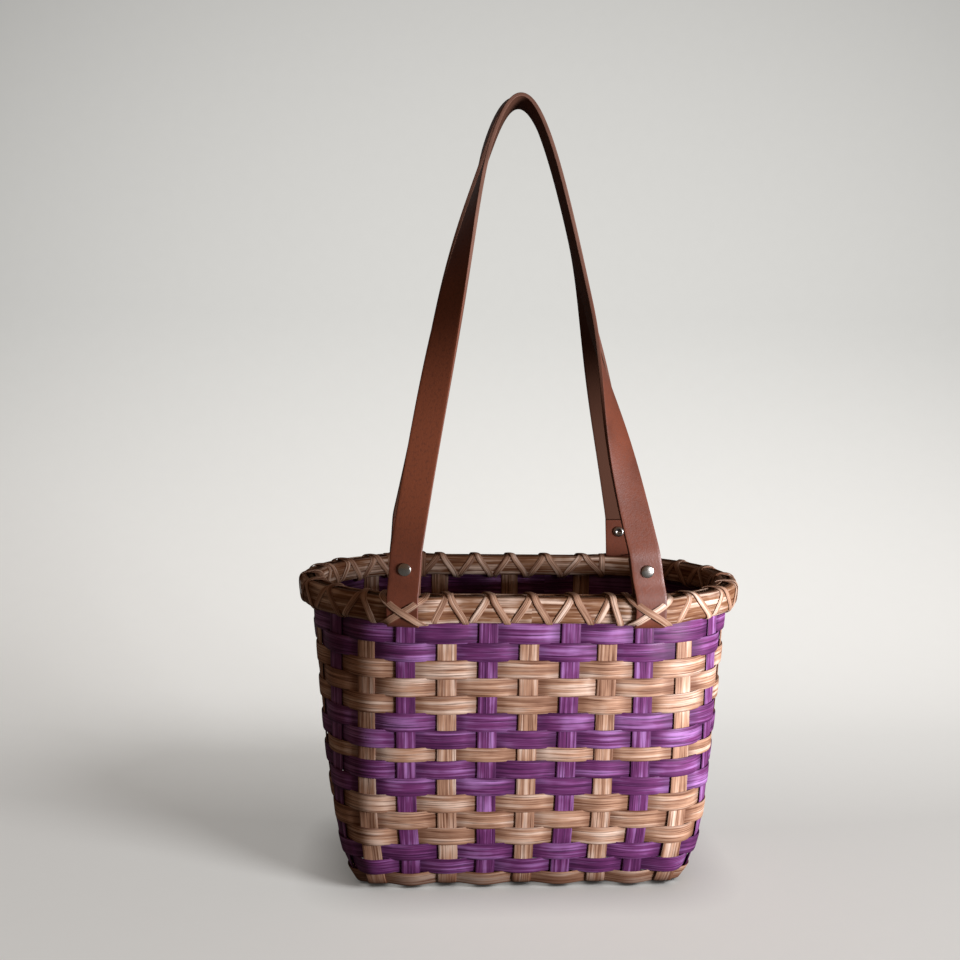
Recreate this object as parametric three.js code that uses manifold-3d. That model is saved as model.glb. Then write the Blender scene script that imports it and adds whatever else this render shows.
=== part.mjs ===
// Woven tote basket with two leather shoulder straps. Millimetres, +Z up, front towards -Y.
import * as THREE from 'three';
import { mergeVertices } from 'three/addons/utils/BufferGeometryUtils.js';
import Module from 'manifold-3d';

// Wall: a rounded rectangle that grows with height
const BASE_HALF_LENGTH = 120.5;
const BASE_HALF_DEPTH = 58.5;
const END_LEAN = 0.115;
const END_ROUND = 14.8;
const SIDE_LEAN = 0.045;
const SIDE_ROUND = 16.5;
const ROUND_HEIGHT = 25;
const CORNER_SHARE_LOW = 0.24;
const CORNER_SHARE_HIGH = 0.985;
const BASE_SPREAD = 0.32;
const BASE_SPREAD_RISE = 1.5;
const SLOPE_SPAN = 2;

// Reed
const LONG_STAKE_COUNT = 5;
const CROSS_STAKE_COUNT = 9;
const STAKE_WIDTH = 14;
const STAKE_THICK = 1.6;
const ROW_WIDTH = 12.6;
const THIN_ROW_WIDTH = 9.4;
const ROW_THICK = 1.3;
const ROW_GAP = 0.4;
const FIRST_ROW_UP = 1.6;
const SEAT_MARGIN = 1;
const CLEAR = 0.35;

// Rows from the base up: n is natural reed, p is dyed reed, t is the thin natural row
const ROW_PATTERN = 'nppnnnpptppnnnpp';

// Rim and lashing
const RIM_HEIGHT = 19.8;
const RIM_THICK = 5.5;
const RIM_BEVEL_OUT = 2;
const RIM_BEVEL_UP = 3;
const RIM_EDGE = 0.6;
const RIM_SLACK = 0.8;
const FILLER_RADIUS = 2.2;
const LASH_WIDTH = 4.6;
const LASH_THICK = 0.8;
const LASH_CLEAR = 0.5;
const LASH_STEP = 2.6;
const LASH_STEP_BY_STRAP = 5.7;
const LASH_STAND_OFF = 0.35;
const LASH_BESIDE_STRAP = 4;
const STAKE_END_MARGIN = 1;

// Leather straps
const STRAP_STAKE_INDEX = 3;
const STRAP_WIDTH = 22.2;
const STRAP_THICK = 3;
const LEFT_SPLAY = 0.058;
const FRONT_RIGHT_SPLAY = 0.171;
const REAR_RIGHT_SPLAY = 0.049;
const FRONT_RIGHT_SHIFT = -6.2;
const REAR_RIGHT_SHIFT = -4;
const POST_ABOVE_RIM = 19.5;
const TAIL_ABOVE_POST = 10;
const BEND_ABOVE_TAIL = 1.6;
const JOIN_ABOVE_RIM = 11;
const JOIN_SET_BACK = 0.6;
const LAYER_GAP = 0.3;
const BEND_GAP = 0.3;
const APEX_HEIGHT = 584;
const REAR_APEX_RISE = 5.4;
const FRONT_APEX_SIDE = -8.3;
const REAR_APEX_SIDE = -9.8;
const APEX_GAP = 1.2;
const FRONT_APEX_RADIUS = 6.15;
const REAR_APEX_RADIUS = 7.4;
const FRONT_LEFT_SAG_SHARE = -0.013;
const FRONT_RIGHT_SAG_SHARE = 0.023;
const REAR_LEFT_SAG_SHARE = 0.03;
const REAR_RIGHT_SAG_SHARE = -0.03;
const FRONT_LEFT_TWIST_SHARE = 0.309;
const FRONT_RIGHT_TWIST_SHARE = 0.73;
const REAR_LEFT_TWIST_SHARE = 0.31;
const REAR_RIGHT_TWIST_SHARE = 0.535;
const FRONT_LEFT_TWIST_FROM = 0.97;
const REAR_LEFT_TWIST_FROM = 0.85;
const FOOT_SHARE = 0.15;
const TWIST_STEPS = 12;
const ARCH_STEP_SHARE = 0.06;

// Screw posts
const CAP_RADIUS = 4.6;
const CAP_THICK = 1.7;
const CAP_FLOOR = 0.6;
const BARREL_RADIUS = 2.5;
const BARREL_WALL = 0.65;
const SCREW_CLEAR = 0.35;
const HEAD_RADIUS = 4.5;
const HEAD_THICK = 1.5;
const RECESS_RADIUS = 1.9;
const RECESS_DEPTH = 0.7;
const POST_SIDES = 10;

// Colours
const NATURAL = 0xc49a6c;
const DYED = 0x6d3a80;
const LASH_COLOUR = 0xcfa97c;
const FILLER_COLOUR = 0xa98a5e;
const LEATHER = 0x5a2f28;
const NICKEL = 0xb9b4ad;

// Sizes that follow from the ones above
const STAKE_COUNT = 2 * (LONG_STAKE_COUNT + CROSS_STAKE_COUNT);
const CROSS_SPAN = (CROSS_STAKE_COUNT - 1) / 2;
const LONG_SPAN = (LONG_STAKE_COUNT - 1) / 2;
const HALF_TURN = STAKE_COUNT / 2;
const QUARTER_TURN = STAKE_COUNT / 4;
const LAYER = STAKE_THICK + CLEAR;
const BASE_LEVEL = STAKE_THICK / 2 + LAYER;
const WEAVE_OFFSET = (STAKE_THICK + ROW_THICK) / 2 + CLEAR;
const WALL_LAYER = WEAVE_OFFSET + ROW_THICK / 2 + CLEAR;
const LASH_LAYER = LASH_THICK + LASH_CLEAR;
const LASH_GAP = 2 * LASH_LAYER + LASH_CLEAR;
const RIM_FACE = WALL_LAYER + RIM_SLACK;
const RIM_BOW = STRAP_THICK + CLEAR;
const rowWidth = (mark) => (mark === 't' ? THIN_ROW_WIDTH : ROW_WIDTH);
const rowEdges = [FIRST_ROW_UP];
for (const mark of ROW_PATTERN) {
  rowEdges.push(rowEdges[rowEdges.length - 1] + rowWidth(mark) + ROW_GAP);
}
const WALL_TOP = rowEdges[rowEdges.length - 1];
const STAKE_END = LASH_GAP + ROW_GAP + ROW_WIDTH + STAKE_END_MARGIN;
const RIM_TOP = LASH_GAP + RIM_HEIGHT;
const POST_UP = RIM_TOP + POST_ABOVE_RIM;
const TAIL_UP = POST_UP + TAIL_ABOVE_POST;
const BEND_UP = TAIL_UP + BEND_ABOVE_TAIL;

// Plan sizes at a height above the base weave
const rounding = (z) => 1 - Math.exp(-z / ROUND_HEIGHT);
const halfLength = (z) => BASE_HALF_LENGTH + END_LEAN * z + END_ROUND * rounding(z);
const halfDepth = (z) => BASE_HALF_DEPTH + SIDE_LEAN * z + SIDE_ROUND * rounding(z);

// Height at a distance v up the wall, stepped along the curve of the front
const STEP = 0.5;
const climb = [0];
while ((climb.length - 1) * STEP < WALL_TOP + STEP) {
  const z = climb[climb.length - 1];
  const slope = SIDE_LEAN + (SIDE_ROUND / ROUND_HEIGHT) * Math.exp(-z / ROUND_HEIGHT);
  climb.push(z + STEP / Math.hypot(1, slope));
}
function heightAt(v) {
  const i = Math.min(Math.max(Math.floor(v / STEP), 0), climb.length - 2);
  return climb[i] + (climb[i + 1] - climb[i]) * (v / STEP - i);
}
const TOP_HEIGHT = heightAt(WALL_TOP);

// The right strap stakes lean a little off the even spacing, and their neighbours half as much
const shifts = [
  [STRAP_STAKE_INDEX, FRONT_RIGHT_SHIFT],
  [HALF_TURN - STRAP_STAKE_INDEX, REAR_RIGHT_SHIFT],
];
const turnsFrom = (k, s) =>
  ((((k - s) % STAKE_COUNT) + STAKE_COUNT * 1.5) % STAKE_COUNT) - STAKE_COUNT / 2;
const shiftShare = (turns) => Math.min(Math.max((1.4 - Math.abs(turns)) / 0.8, 0), 1);
const drift = (k) => shifts.reduce((sum, [s, shift]) => sum + shift * shiftShare(turnsFrom(k, s)), 0);

// Low on the long walls the stakes spread towards the corners, so they rise upright from the base
const spread = (k, z) =>
  BASE_SPREAD * Math.sin((Math.PI * k) / QUARTER_TURN)
  * Math.max(1 - z / (BASE_SPREAD_RISE * ROUND_HEIGHT), 0) ** 2;

// Point and sideways direction of the wall at stake position k and height z
function planPoint(k, z) {
  const a = halfLength(z);
  const b = halfDepth(z);
  const rise = Math.pow(Math.min(Math.max(z / TOP_HEIGHT, 0), 1), 0.8);
  const r = b * (CORNER_SHARE_LOW + (CORNER_SHARE_HIGH - CORNER_SHARE_LOW) * rise);
  const quarter = a - r + b - r + (Math.PI / 2) * r;
  const place = k + spread(k, z) + (rise * drift(k) * QUARTER_TURN) / quarter;
  const turn = (((place / QUARTER_TURN) % 4) + 4) % 4;
  const quad = Math.floor(turn);
  const part = turn - quad;
  const s = (quad % 2 ? 1 - part : part) * quarter;
  let x = s;
  let y = -b;
  let angle = 0;
  if (s > a - r) {
    angle = Math.min((s - (a - r)) / r, Math.PI / 2);
    x = a - r + r * Math.sin(angle);
    y = -(b - r) - r * Math.cos(angle) + Math.max(s - (a - r) - (Math.PI / 2) * r, 0);
  }
  const sx = quad === 0 || quad === 1 ? 1 : -1;
  const sy = quad === 0 || quad === 3 ? 1 : -1;
  return {
    p: new THREE.Vector3(sx * x, sy * y, BASE_LEVEL + z),
    w: new THREE.Vector3(sy * Math.cos(angle), sx * Math.sin(angle), 0),
  };
}

// Wall frame: point, sideways w, up t, outward n. Above the wall it runs on straight.
function wallPoint(k, v) {
  const low = Math.min(v, WALL_TOP);
  const p = planPoint(k, heightAt(low)).p;
  if (v > WALL_TOP) p.addScaledVector(wallFrame(k, WALL_TOP).t, v - WALL_TOP);
  return p;
}
function wallFrame(k, v) {
  const at = Math.min(v, WALL_TOP);
  const { w } = planPoint(k, heightAt(at));
  const t = wallPoint(k, Math.min(at + SLOPE_SPAN, WALL_TOP)).sub(wallPoint(k, Math.max(at - SLOPE_SPAN, 0)));
  t.addScaledVector(w, -t.dot(w)).normalize();
  const n = new THREE.Vector3().crossVectors(w, t);
  return { p: wallPoint(k, v), w, t, n };
}

// Point at the rim: out from the wall's middle by a, up from the wall's top by b
function rimPoint(k, a, b) {
  const f = wallFrame(k, WALL_TOP);
  return f.p.addScaledVector(f.n, a).addScaledVector(f.t, b);
}

// Closed body through a list of rings of points; open ones get flat ends.
// A paired loft splits its two faces along the same diagonals, so a twisted strip keeps its thickness.
function loft(rings, closed, paired = false) {
  const m = rings[0].length;
  const position = rings.flat().flatMap((p) => [p.x, p.y, p.z]);
  const index = [];
  const last = closed ? rings.length : rings.length - 1;
  for (let i = 0; i < last; i++) {
    const a = i * m;
    const b = ((i + 1) % rings.length) * m;
    for (let j = 0; j < m; j++) {
      const j2 = (j + 1) % m;
      if (paired && j >= m / 2) index.push(a + j, b + j, a + j2, b + j, b + j2, a + j2);
      else index.push(a + j, b + j, b + j2, a + j, b + j2, a + j2);
    }
  }
  if (!closed) {
    const e = (rings.length - 1) * m;
    for (let j = 1; j < m - 1; j++) {
      index.push(0, j, j + 1);
      index.push(e, e + j + 1, e + j);
    }
  }
  const g = new THREE.BufferGeometry();
  g.setAttribute('position', new THREE.Float32BufferAttribute(position, 3));
  g.setIndex(index);
  return faceOut(g);
}

// Turns the faces outward by the sign of the enclosed volume
function faceOut(g) {
  const p = g.getAttribute('position');
  const ix = g.getIndex().array;
  const a = new THREE.Vector3();
  const b = new THREE.Vector3();
  const c = new THREE.Vector3();
  let volume = 0;
  for (let i = 0; i < ix.length; i += 3) {
    a.fromBufferAttribute(p, ix[i]);
    b.fromBufferAttribute(p, ix[i + 1]);
    c.fromBufferAttribute(p, ix[i + 2]);
    volume += a.dot(b.cross(c));
  }
  if (volume < 0) {
    const turned = [];
    for (let i = 0; i < ix.length; i += 3) turned.push(ix[i], ix[i + 2], ix[i + 1]);
    g.setIndex(turned);
  }
  return g;
}

// Flat strip along points, with its width direction at each, mitred at the bends
function stripRings(points, widths, width, thick, closed) {
  const n = points.length;
  return points.map((p, i) => {
    const w = widths[i].clone().normalize();
    const before = points[closed ? (i + n - 1) % n : Math.max(i - 1, 0)];
    const after = points[closed ? (i + 1) % n : Math.min(i + 1, n - 1)];
    const n1 = new THREE.Vector3().crossVectors(w, p.clone().sub(before)).normalize();
    const n2 = new THREE.Vector3().crossVectors(w, after.clone().sub(p)).normalize();
    const normal = n1.lengthSq() < 0.5 ? n2.clone() : n2.lengthSq() < 0.5 ? n1.clone() : n1.clone().add(n2);
    normal.normalize();
    const fit = Math.max(n1.lengthSq() < 0.5 ? 1 : normal.dot(n1), 0.6);
    const u = w.multiplyScalar(width / 2);
    const h = normal.multiplyScalar(thick / 2 / fit);
    return [
      p.clone().sub(u).sub(h),
      p.clone().add(u).sub(h),
      p.clone().add(u).add(h),
      p.clone().sub(u).add(h),
    ];
  });
}
const strip = (points, widths, width, thick, closed) =>
  loft(stripRings(points, widths, width, thick, closed), closed);

// The group and its pieces
const group = new THREE.Group();
group.name = 'tote_basket';
function add(name, geometry, colour, roughness, metalness) {
  const material = new THREE.MeshStandardMaterial({ color: colour, roughness, metalness });
  const mesh = new THREE.Mesh(geometry, material);
  mesh.name = name;
  group.add(mesh);
}
const stakeColour = (k) => (k % 2 ? DYED : NATURAL);

// Heights where a stake bends: every row low down, fewer where the wall is straight
const stakeStops = rowEdges.filter((_, i) => i < 6 || i % 2 === 0 || i === 9);
if (stakeStops[stakeStops.length - 1] < WALL_TOP) stakeStops.push(WALL_TOP);
stakeStops.push(WALL_TOP + STAKE_END);

// Stake from one wall, through the base points, up the other wall
function stake(k, mirrorK, base, baseWidth) {
  const points = [];
  const widths = [];
  for (const v of stakeStops.slice().reverse()) {
    points.push(wallPoint(k, v));
    widths.push(wallFrame(k, v).w);
  }
  points.push(wallPoint(k, 0));
  widths.push(wallFrame(k, 0).w);
  const sign = Math.sign(widths[widths.length - 1].dot(baseWidth));
  for (const p of base) {
    points.push(p);
    widths.push(baseWidth.clone().multiplyScalar(sign));
  }
  for (const v of [0, ...stakeStops]) {
    points.push(wallPoint(mirrorK, v));
    widths.push(wallFrame(mirrorK, v).w.negate());
  }
  return strip(points, widths, STAKE_WIDTH, STAKE_THICK, false);
}

// Cross stakes lie flat in the base
const alongX = new THREE.Vector3(1, 0, 0);
const alongY = new THREE.Vector3(0, 1, 0);
for (let i = -CROSS_SPAN; i <= CROSS_SPAN; i++) {
  const name = `cross_stake_${i + CROSS_SPAN + 1}`;
  add(name, stake(i, HALF_TURN - i, [], alongX), stakeColour(i), 0.75, 0);
}

// Long stakes go over and under the cross stakes in the base
for (let j = -LONG_SPAN; j <= LONG_SPAN; j++) {
  const left = STAKE_COUNT - QUARTER_TURN - j;
  const right = QUARTER_TURN + j;
  const y = wallPoint(right, 0).y;
  const base = [];
  for (let i = -CROSS_SPAN; i <= CROSS_SPAN; i++) {
    const x = wallPoint(i, 0).x;
    const z = BASE_LEVEL + ((i + j) % 2 === 0 ? -LAYER : LAYER);
    base.push(new THREE.Vector3(x - STAKE_WIDTH / 2 - SEAT_MARGIN, y, z));
    base.push(new THREE.Vector3(x + STAKE_WIDTH / 2 + SEAT_MARGIN, y, z));
  }
  const name = `long_stake_${j + LONG_SPAN + 1}`;
  add(name, stake(left, right, base, alongY), stakeColour(right), 0.75, 0);
}

// One row of weaving: flat over each stake, crossing the wall between them
function weaverRow(low, high, width, outsideOdd) {
  const points = [];
  const widths = [];
  const place = (k, sideways, out) => {
    const [bottom, top] = [low, high].map((v) => {
      const f = wallFrame(k, v);
      return f.p.addScaledVector(f.w, sideways).addScaledVector(f.n, out);
    });
    points.push(bottom.clone().add(top).multiplyScalar(0.5));
    widths.push(top.sub(bottom));
  };
  for (let k = 0; k < STAKE_COUNT; k++) {
    const out = (k % 2 === 1) === outsideOdd ? WEAVE_OFFSET : -WEAVE_OFFSET;
    place(k, -STAKE_WIDTH / 2 - SEAT_MARGIN, out);
    place(k, STAKE_WIDTH / 2 + SEAT_MARGIN, out);
    const turn = wallFrame(k, low).w.dot(wallFrame(k + 1, low).w);
    if (turn < Math.cos(0.5)) place(k + 0.5, 0, 0);
  }
  return strip(points, widths, width, ROW_THICK, true);
}
[...ROW_PATTERN].forEach((mark, r) => {
  const name = `weaver_row_${String(r + 1).padStart(2, '0')}`;
  const geometry = weaverRow(rowEdges[r], rowEdges[r + 1], rowWidth(mark), r % 2 === 0);
  add(name, geometry, mark === 'p' ? DYED : NATURAL, 0.7, 0);
});
const rimRowLow = WALL_TOP + LASH_GAP;
const rimRow = weaverRow(rimRowLow, rimRowLow + ROW_WIDTH + ROW_GAP, ROW_WIDTH, ROW_PATTERN.length % 2 === 0);
add('rim_row', rimRow, NATURAL, 0.7, 0);

// The outer rim stands off, and runs straight, at the strap stakes to let the leather pass behind it
const strapStakes = [0, HALF_TURN].flatMap((k) => [k + STRAP_STAKE_INDEX, k - STRAP_STAKE_INDEX]);
const nearStrap = (k, reach) => strapStakes.find((s) => Math.abs(turnsFrom(k, s)) < reach + 0.01);
const TOP_PITCH = wallPoint(0, WALL_TOP).distanceTo(wallPoint(1, WALL_TOP));
function outerRimPoint(k, a, b) {
  const straight = nearStrap(k, 0.5);
  if (straight !== undefined) {
    const w = wallFrame(straight, WALL_TOP).w;
    return rimPoint(straight, a + RIM_BOW, b).addScaledVector(w, turnsFrom(k, straight) * TOP_PITCH);
  }
  const bow = nearStrap(k, 1) === undefined ? 0 : RIM_BOW / 2;
  return rimPoint(k, a + bow, b);
}

// Point on the straight line between the rim's half-stake stations
function onRim(point, k, a, b) {
  const low = Math.floor(2 * k + 1e-6) / 2;
  return point(low, a, b).lerp(point(low + 0.5, a, b), 2 * (k - low));
}

// Directions along and up the rim's flat between two stations
function rimFace(point, k) {
  const low = Math.floor(2 * k + 1e-6) / 2;
  const w = point(low + 0.5, 0, 0).sub(point(low, 0, 0)).normalize();
  const { t } = wallFrame(low + 0.25, WALL_TOP);
  return { w, t: t.addScaledVector(w, -t.dot(w)).normalize() };
}

// D-shaped rim section, from its flat face at a in direction side
function rimSection(point, k, a, side) {
  const outline = [
    [0, RIM_EDGE],
    [RIM_EDGE, 0],
    [RIM_THICK - RIM_BEVEL_OUT, 0],
    [RIM_THICK, RIM_BEVEL_UP],
    [RIM_THICK, RIM_HEIGHT - RIM_BEVEL_UP],
    [RIM_THICK - RIM_BEVEL_OUT, RIM_HEIGHT],
    [RIM_EDGE, RIM_HEIGHT],
    [0, RIM_HEIGHT - RIM_EDGE],
  ];
  return outline.map(([out, up]) => point(k, side * (a + out), LASH_GAP + up));
}
const halfSteps = Array.from({ length: 2 * STAKE_COUNT }, (_, i) => i / 2);
const outerRim = halfSteps.map((k) => rimSection(outerRimPoint, k, RIM_FACE, 1));
const innerRim = halfSteps.map((k) => rimSection(rimPoint, k, WALL_LAYER, -1));
add('outer_rim', loft(outerRim, true), NATURAL, 0.6, 0);
add('inner_rim', loft(innerRim, true), NATURAL, 0.6, 0);

// Filler cord between the rims, on the stake ends
const fillerUp = STAKE_END + CLEAR + FILLER_RADIUS;
const filler = halfSteps.map((k) =>
  Array.from({ length: 6 }, (_, i) => {
    const angle = (i * Math.PI) / 3;
    return rimPoint(k, FILLER_RADIUS * Math.cos(angle), fillerUp + FILLER_RADIUS * Math.sin(angle));
  }),
);
add('rim_filler', loft(filler, true), FILLER_COLOUR, 0.9, 0);

// Corner of a bevelled outline moved out by d, with its outward direction
function movedOut(outline, i, d) {
  const n = outline.length;
  const [px, py] = outline[(i + n - 1) % n];
  const [x, y] = outline[i];
  const [qx, qy] = outline[(i + 1) % n];
  const l1 = Math.hypot(x - px, y - py);
  const l2 = Math.hypot(qx - x, qy - y);
  let nx = (y - py) / l1 + (qy - y) / l2;
  let ny = -(x - px) / l1 - (qx - x) / l2;
  const l = Math.hypot(nx, ny);
  nx /= l;
  ny /= l;
  const grow = d / ((nx * (y - py)) / l1 - (ny * (x - px)) / l1);
  return { a: x + nx * grow, b: y + ny * grow, na: nx, nb: ny };
}

// One lasher: a loop round both rims for every stake, going forward or backward.
// Over the leather it crosses the whole strap end outside and runs straight down inside.
function lasher(direction, lift) {
  const points = [];
  const normals = [];
  const step = LASH_STEP / TOP_PITCH;
  const inner = WALL_LAYER + RIM_THICK;
  for (let i = 0; i < STAKE_COUNT; i++) {
    const k = HALF_TURN + 0.5 + direction * (i + 0.5);
    const strapped = nearStrap(k, 0) !== undefined;
    const afterStrap = nearStrap(k - direction, 0) !== undefined;
    const beforeStrap = nearStrap(k + direction, 0) !== undefined;
    const start = -0.5 + (afterStrap ? LASH_STEP_BY_STRAP : LASH_STEP) / TOP_PITCH;
    const by = (STRAP_WIDTH / 2 + LASH_BESIDE_STRAP) / TOP_PITCH;
    const end = beforeStrap ? 1 - by : 0.5 - step;
    const places = strapped
      ? [-by, -by, by, by, by, by, by, by]
      : [start, start, -step, -step, step, step, end, end];
    const crossing = direction > 0 ? LASH_STAND_OFF : 2 * LASH_STAND_OFF;
    const stand = strapped ? STRAP_THICK + CLEAR + crossing : 0;
    const outer = RIM_FACE + RIM_THICK + stand;
    const outline = [
      [outer - RIM_BEVEL_OUT, 0],
      [outer, RIM_BEVEL_UP],
      [outer, RIM_HEIGHT - RIM_BEVEL_UP],
      [outer - RIM_BEVEL_OUT, RIM_HEIGHT],
      [-inner + RIM_BEVEL_OUT, RIM_HEIGHT],
      [-inner, RIM_HEIGHT - RIM_BEVEL_UP],
      [-inner, RIM_BEVEL_UP],
      [-inner + RIM_BEVEL_OUT, 0],
    ];
    places.forEach((place, c) => {
      const m = movedOut(outline, c, lift);
      const at = k + direction * place;
      const line = c < 4 ? outerRimPoint : rimPoint;
      const { w, t } = rimFace(line, strapped && c < 4 ? k : at);
      points.push(onRim(line, at, m.a, LASH_GAP + m.b));
      normals.push(w.cross(t).multiplyScalar(m.na).addScaledVector(t, m.nb));
    });
  }
  const widths = points.map((p, i) => {
    const before = points[Math.max(i - 1, 0)];
    const after = points[Math.min(i + 1, points.length - 1)];
    return new THREE.Vector3().crossVectors(normals[i], after.clone().sub(before)).normalize();
  });
  return stripRings(points, widths, LASH_WIDTH, LASH_THICK, false);
}

// Least distance between parts of one strip that aren't next to each other
function leastGap(rings) {
  const spots = [];
  for (let i = 0; i < rings.length - 1; i++) {
    for (const share of [0, 0.25, 0.5, 0.75]) {
      for (const [j, h] of [[0, 0.5], [1, 0.5], [2, 0.5], [3, 0.5]]) {
        const a = rings[i][j].clone().lerp(rings[i][(j + 1) % 4], h);
        const b = rings[i + 1][j].clone().lerp(rings[i + 1][(j + 1) % 4], h);
        spots.push({ i, p: a.lerp(b, share) });
      }
    }
  }
  let least = Infinity;
  for (let a = 0; a < spots.length; a++) {
    for (let b = a + 1; b < spots.length; b++) {
      if (Math.abs(spots[a].i - spots[b].i) > 3) least = Math.min(least, spots[a].p.distanceTo(spots[b].p));
    }
  }
  return least;
}
const underLash = lasher(1, LASH_CLEAR + LASH_THICK / 2);
const overLash = lasher(-1, LASH_CLEAR + LASH_LAYER + LASH_THICK / 2);
console.log('rim_lashing_under least gap to itself', leastGap(underLash).toFixed(2), 'mm');
console.log('rim_lashing_over least gap to itself', leastGap(overLash).toFixed(2), 'mm');
add('rim_lashing_under', loft(underLash, false), LASH_COLOUR, 0.65, 0);
add('rim_lashing_over', loft(overLash, false), LASH_COLOUR, 0.65, 0);

// Strap end: leather down the outer rim, under it, up behind it and back to the strap
const layer = STRAP_THICK + LAYER_GAP;
const strapFace = RIM_FACE + RIM_BOW;
const backLine = strapFace - CLEAR - STRAP_THICK / 2;
const frontLine = strapFace + RIM_THICK + CLEAR + STRAP_THICK / 2;
const joinBack = (backLine + frontLine - layer) / 2 - JOIN_SET_BACK;
const joinFront = joinBack + layer;
const strapOutline = [
  [strapFace + RIM_THICK, RIM_HEIGHT],
  [strapFace + RIM_THICK, RIM_BEVEL_UP],
  [strapFace + RIM_THICK - RIM_BEVEL_OUT, 0],
  [strapFace + RIM_EDGE, 0],
  [strapFace, RIM_EDGE],
  [strapFace, RIM_HEIGHT],
];
function strapEndPath() {
  const turned = strapOutline.slice().reverse();
  const low = [1, 2, 3, 4].map((i) => movedOut(turned, i, CLEAR + STRAP_THICK / 2));
  const path = low.map((m) => [m.a, LASH_GAP + m.b]).reverse();
  const rimUp = RIM_TOP + LASH_CLEAR;
  return [
    [joinFront, BEND_UP],
    [joinFront, POST_UP + CAP_RADIUS],
    [joinFront, RIM_TOP + JOIN_ABOVE_RIM],
    [frontLine, rimUp],
    ...path,
    [backLine, rimUp],
    [joinBack, RIM_TOP + JOIN_ABOVE_RIM],
    [joinBack, POST_UP + CAP_RADIUS],
    [joinBack, TAIL_UP],
  ];
}
// Point of the strap end at stake k: the leather runs a little towards the middle of its side
function strapEndPoint(k, a, b) {
  const f = wallFrame(k, WALL_TOP);
  const inward = -Math.sign(f.p.x) * Math.sign(f.w.x);
  const rightSplay = f.p.y < 0 ? FRONT_RIGHT_SPLAY : REAR_RIGHT_SPLAY;
  const splay = f.p.x < 0 ? LEFT_SPLAY : rightSplay;
  return rimPoint(k, a, b).addScaledVector(f.w, inward * splay * Math.max(b - RIM_TOP, 0));
}
function strapEnd(k) {
  const { w } = wallFrame(k, WALL_TOP);
  const path = strapEndPath();
  const points = path.map(([a, b]) => strapEndPoint(k, a, b));
  return strip(points, path.map(() => w), STRAP_WIDTH, STRAP_THICK, false);
}

// Frame with its Y axis along the post, at the middle of the riveted leather
function postFrame(k) {
  const f = wallFrame(k, WALL_TOP);
  const x = f.w.clone();
  const z = new THREE.Vector3().crossVectors(x, f.n);
  const origin = strapEndPoint(k, (joinBack + joinFront) / 2, POST_UP);
  return new THREE.Matrix4().makeBasis(x, f.n, z).setPosition(origin);
}
const GRIP = layer + STRAP_THICK;
const capSeat = GRIP / 2 + LAYER_GAP;
const barrelEnd = -GRIP / 2;
const boreRadius = BARREL_RADIUS - BARREL_WALL;
const shankRadius = boreRadius - SCREW_CLEAR;
const boreFloor = GRIP / 2 - CAP_FLOOR;
const shankEnd = boreFloor - SCREW_CLEAR;
const headSeat = barrelEnd - LAYER_GAP;
const lathe = (outline) =>
  mergeVertices(
    new THREE.LatheGeometry(outline.map(([r, y]) => new THREE.Vector2(r, y)), POST_SIDES)
      .deleteAttribute('uv')
      .deleteAttribute('normal'),
    1e-4,
  );
const postShape = lathe([
  [0, boreFloor],
  [boreRadius, boreFloor],
  [boreRadius, barrelEnd],
  [BARREL_RADIUS, barrelEnd],
  [BARREL_RADIUS, capSeat],
  [CAP_RADIUS, capSeat],
  [CAP_RADIUS, capSeat + CAP_THICK * 0.5],
  [CAP_RADIUS * 0.7, capSeat + CAP_THICK * 0.9],
  [0, capSeat + CAP_THICK],
]);
const screwShape = lathe([
  [0, headSeat - HEAD_THICK + RECESS_DEPTH],
  [RECESS_RADIUS, headSeat - HEAD_THICK + RECESS_DEPTH],
  [RECESS_RADIUS, headSeat - HEAD_THICK],
  [HEAD_RADIUS * 0.85, headSeat - HEAD_THICK],
  [HEAD_RADIUS, headSeat - HEAD_THICK * 0.5],
  [HEAD_RADIUS, headSeat],
  [shankRadius, headSeat],
  [shankRadius, shankEnd],
  [0, shankEnd],
]);

// Rivet hole through both layers of the strap end
const wasm = await Module();
wasm.setup();
const toManifold = (g) =>
  new wasm.Manifold(
    new wasm.Mesh({
      numProp: 3,
      vertProperties: Float32Array.from(g.getAttribute('position').array),
      triVerts: Uint32Array.from(g.getIndex().array),
    }),
  );
function fromManifold(solid) {
  const mesh = solid.getMesh();
  const g = new THREE.BufferGeometry();
  const position = [];
  for (let i = 0; i < mesh.vertProperties.length; i += mesh.numProp) {
    position.push(...mesh.vertProperties.slice(i, i + 3));
  }
  g.setAttribute('position', new THREE.Float32BufferAttribute(position, 3));
  g.setIndex(Array.from(mesh.triVerts));
  return g;
}
function drilled(g, k) {
  const drill = new THREE.CylinderGeometry(
    BARREL_RADIUS + SCREW_CLEAR, BARREL_RADIUS + SCREW_CLEAR, 4 * GRIP, POST_SIDES, 1);
  drill.deleteAttribute('uv').deleteAttribute('normal');
  drill.applyMatrix4(postFrame(k));
  const tool = faceOut(mergeVertices(drill, 1e-4));
  return fromManifold(toManifold(mergeVertices(g, 1e-4)).subtract(toManifold(tool)));
}

// Even steps from one share of the strap to another, without the last
const steps = (from, to, count) =>
  Array.from({ length: count }, (_, i) => from + ((to - from) * i) / count);

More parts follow.
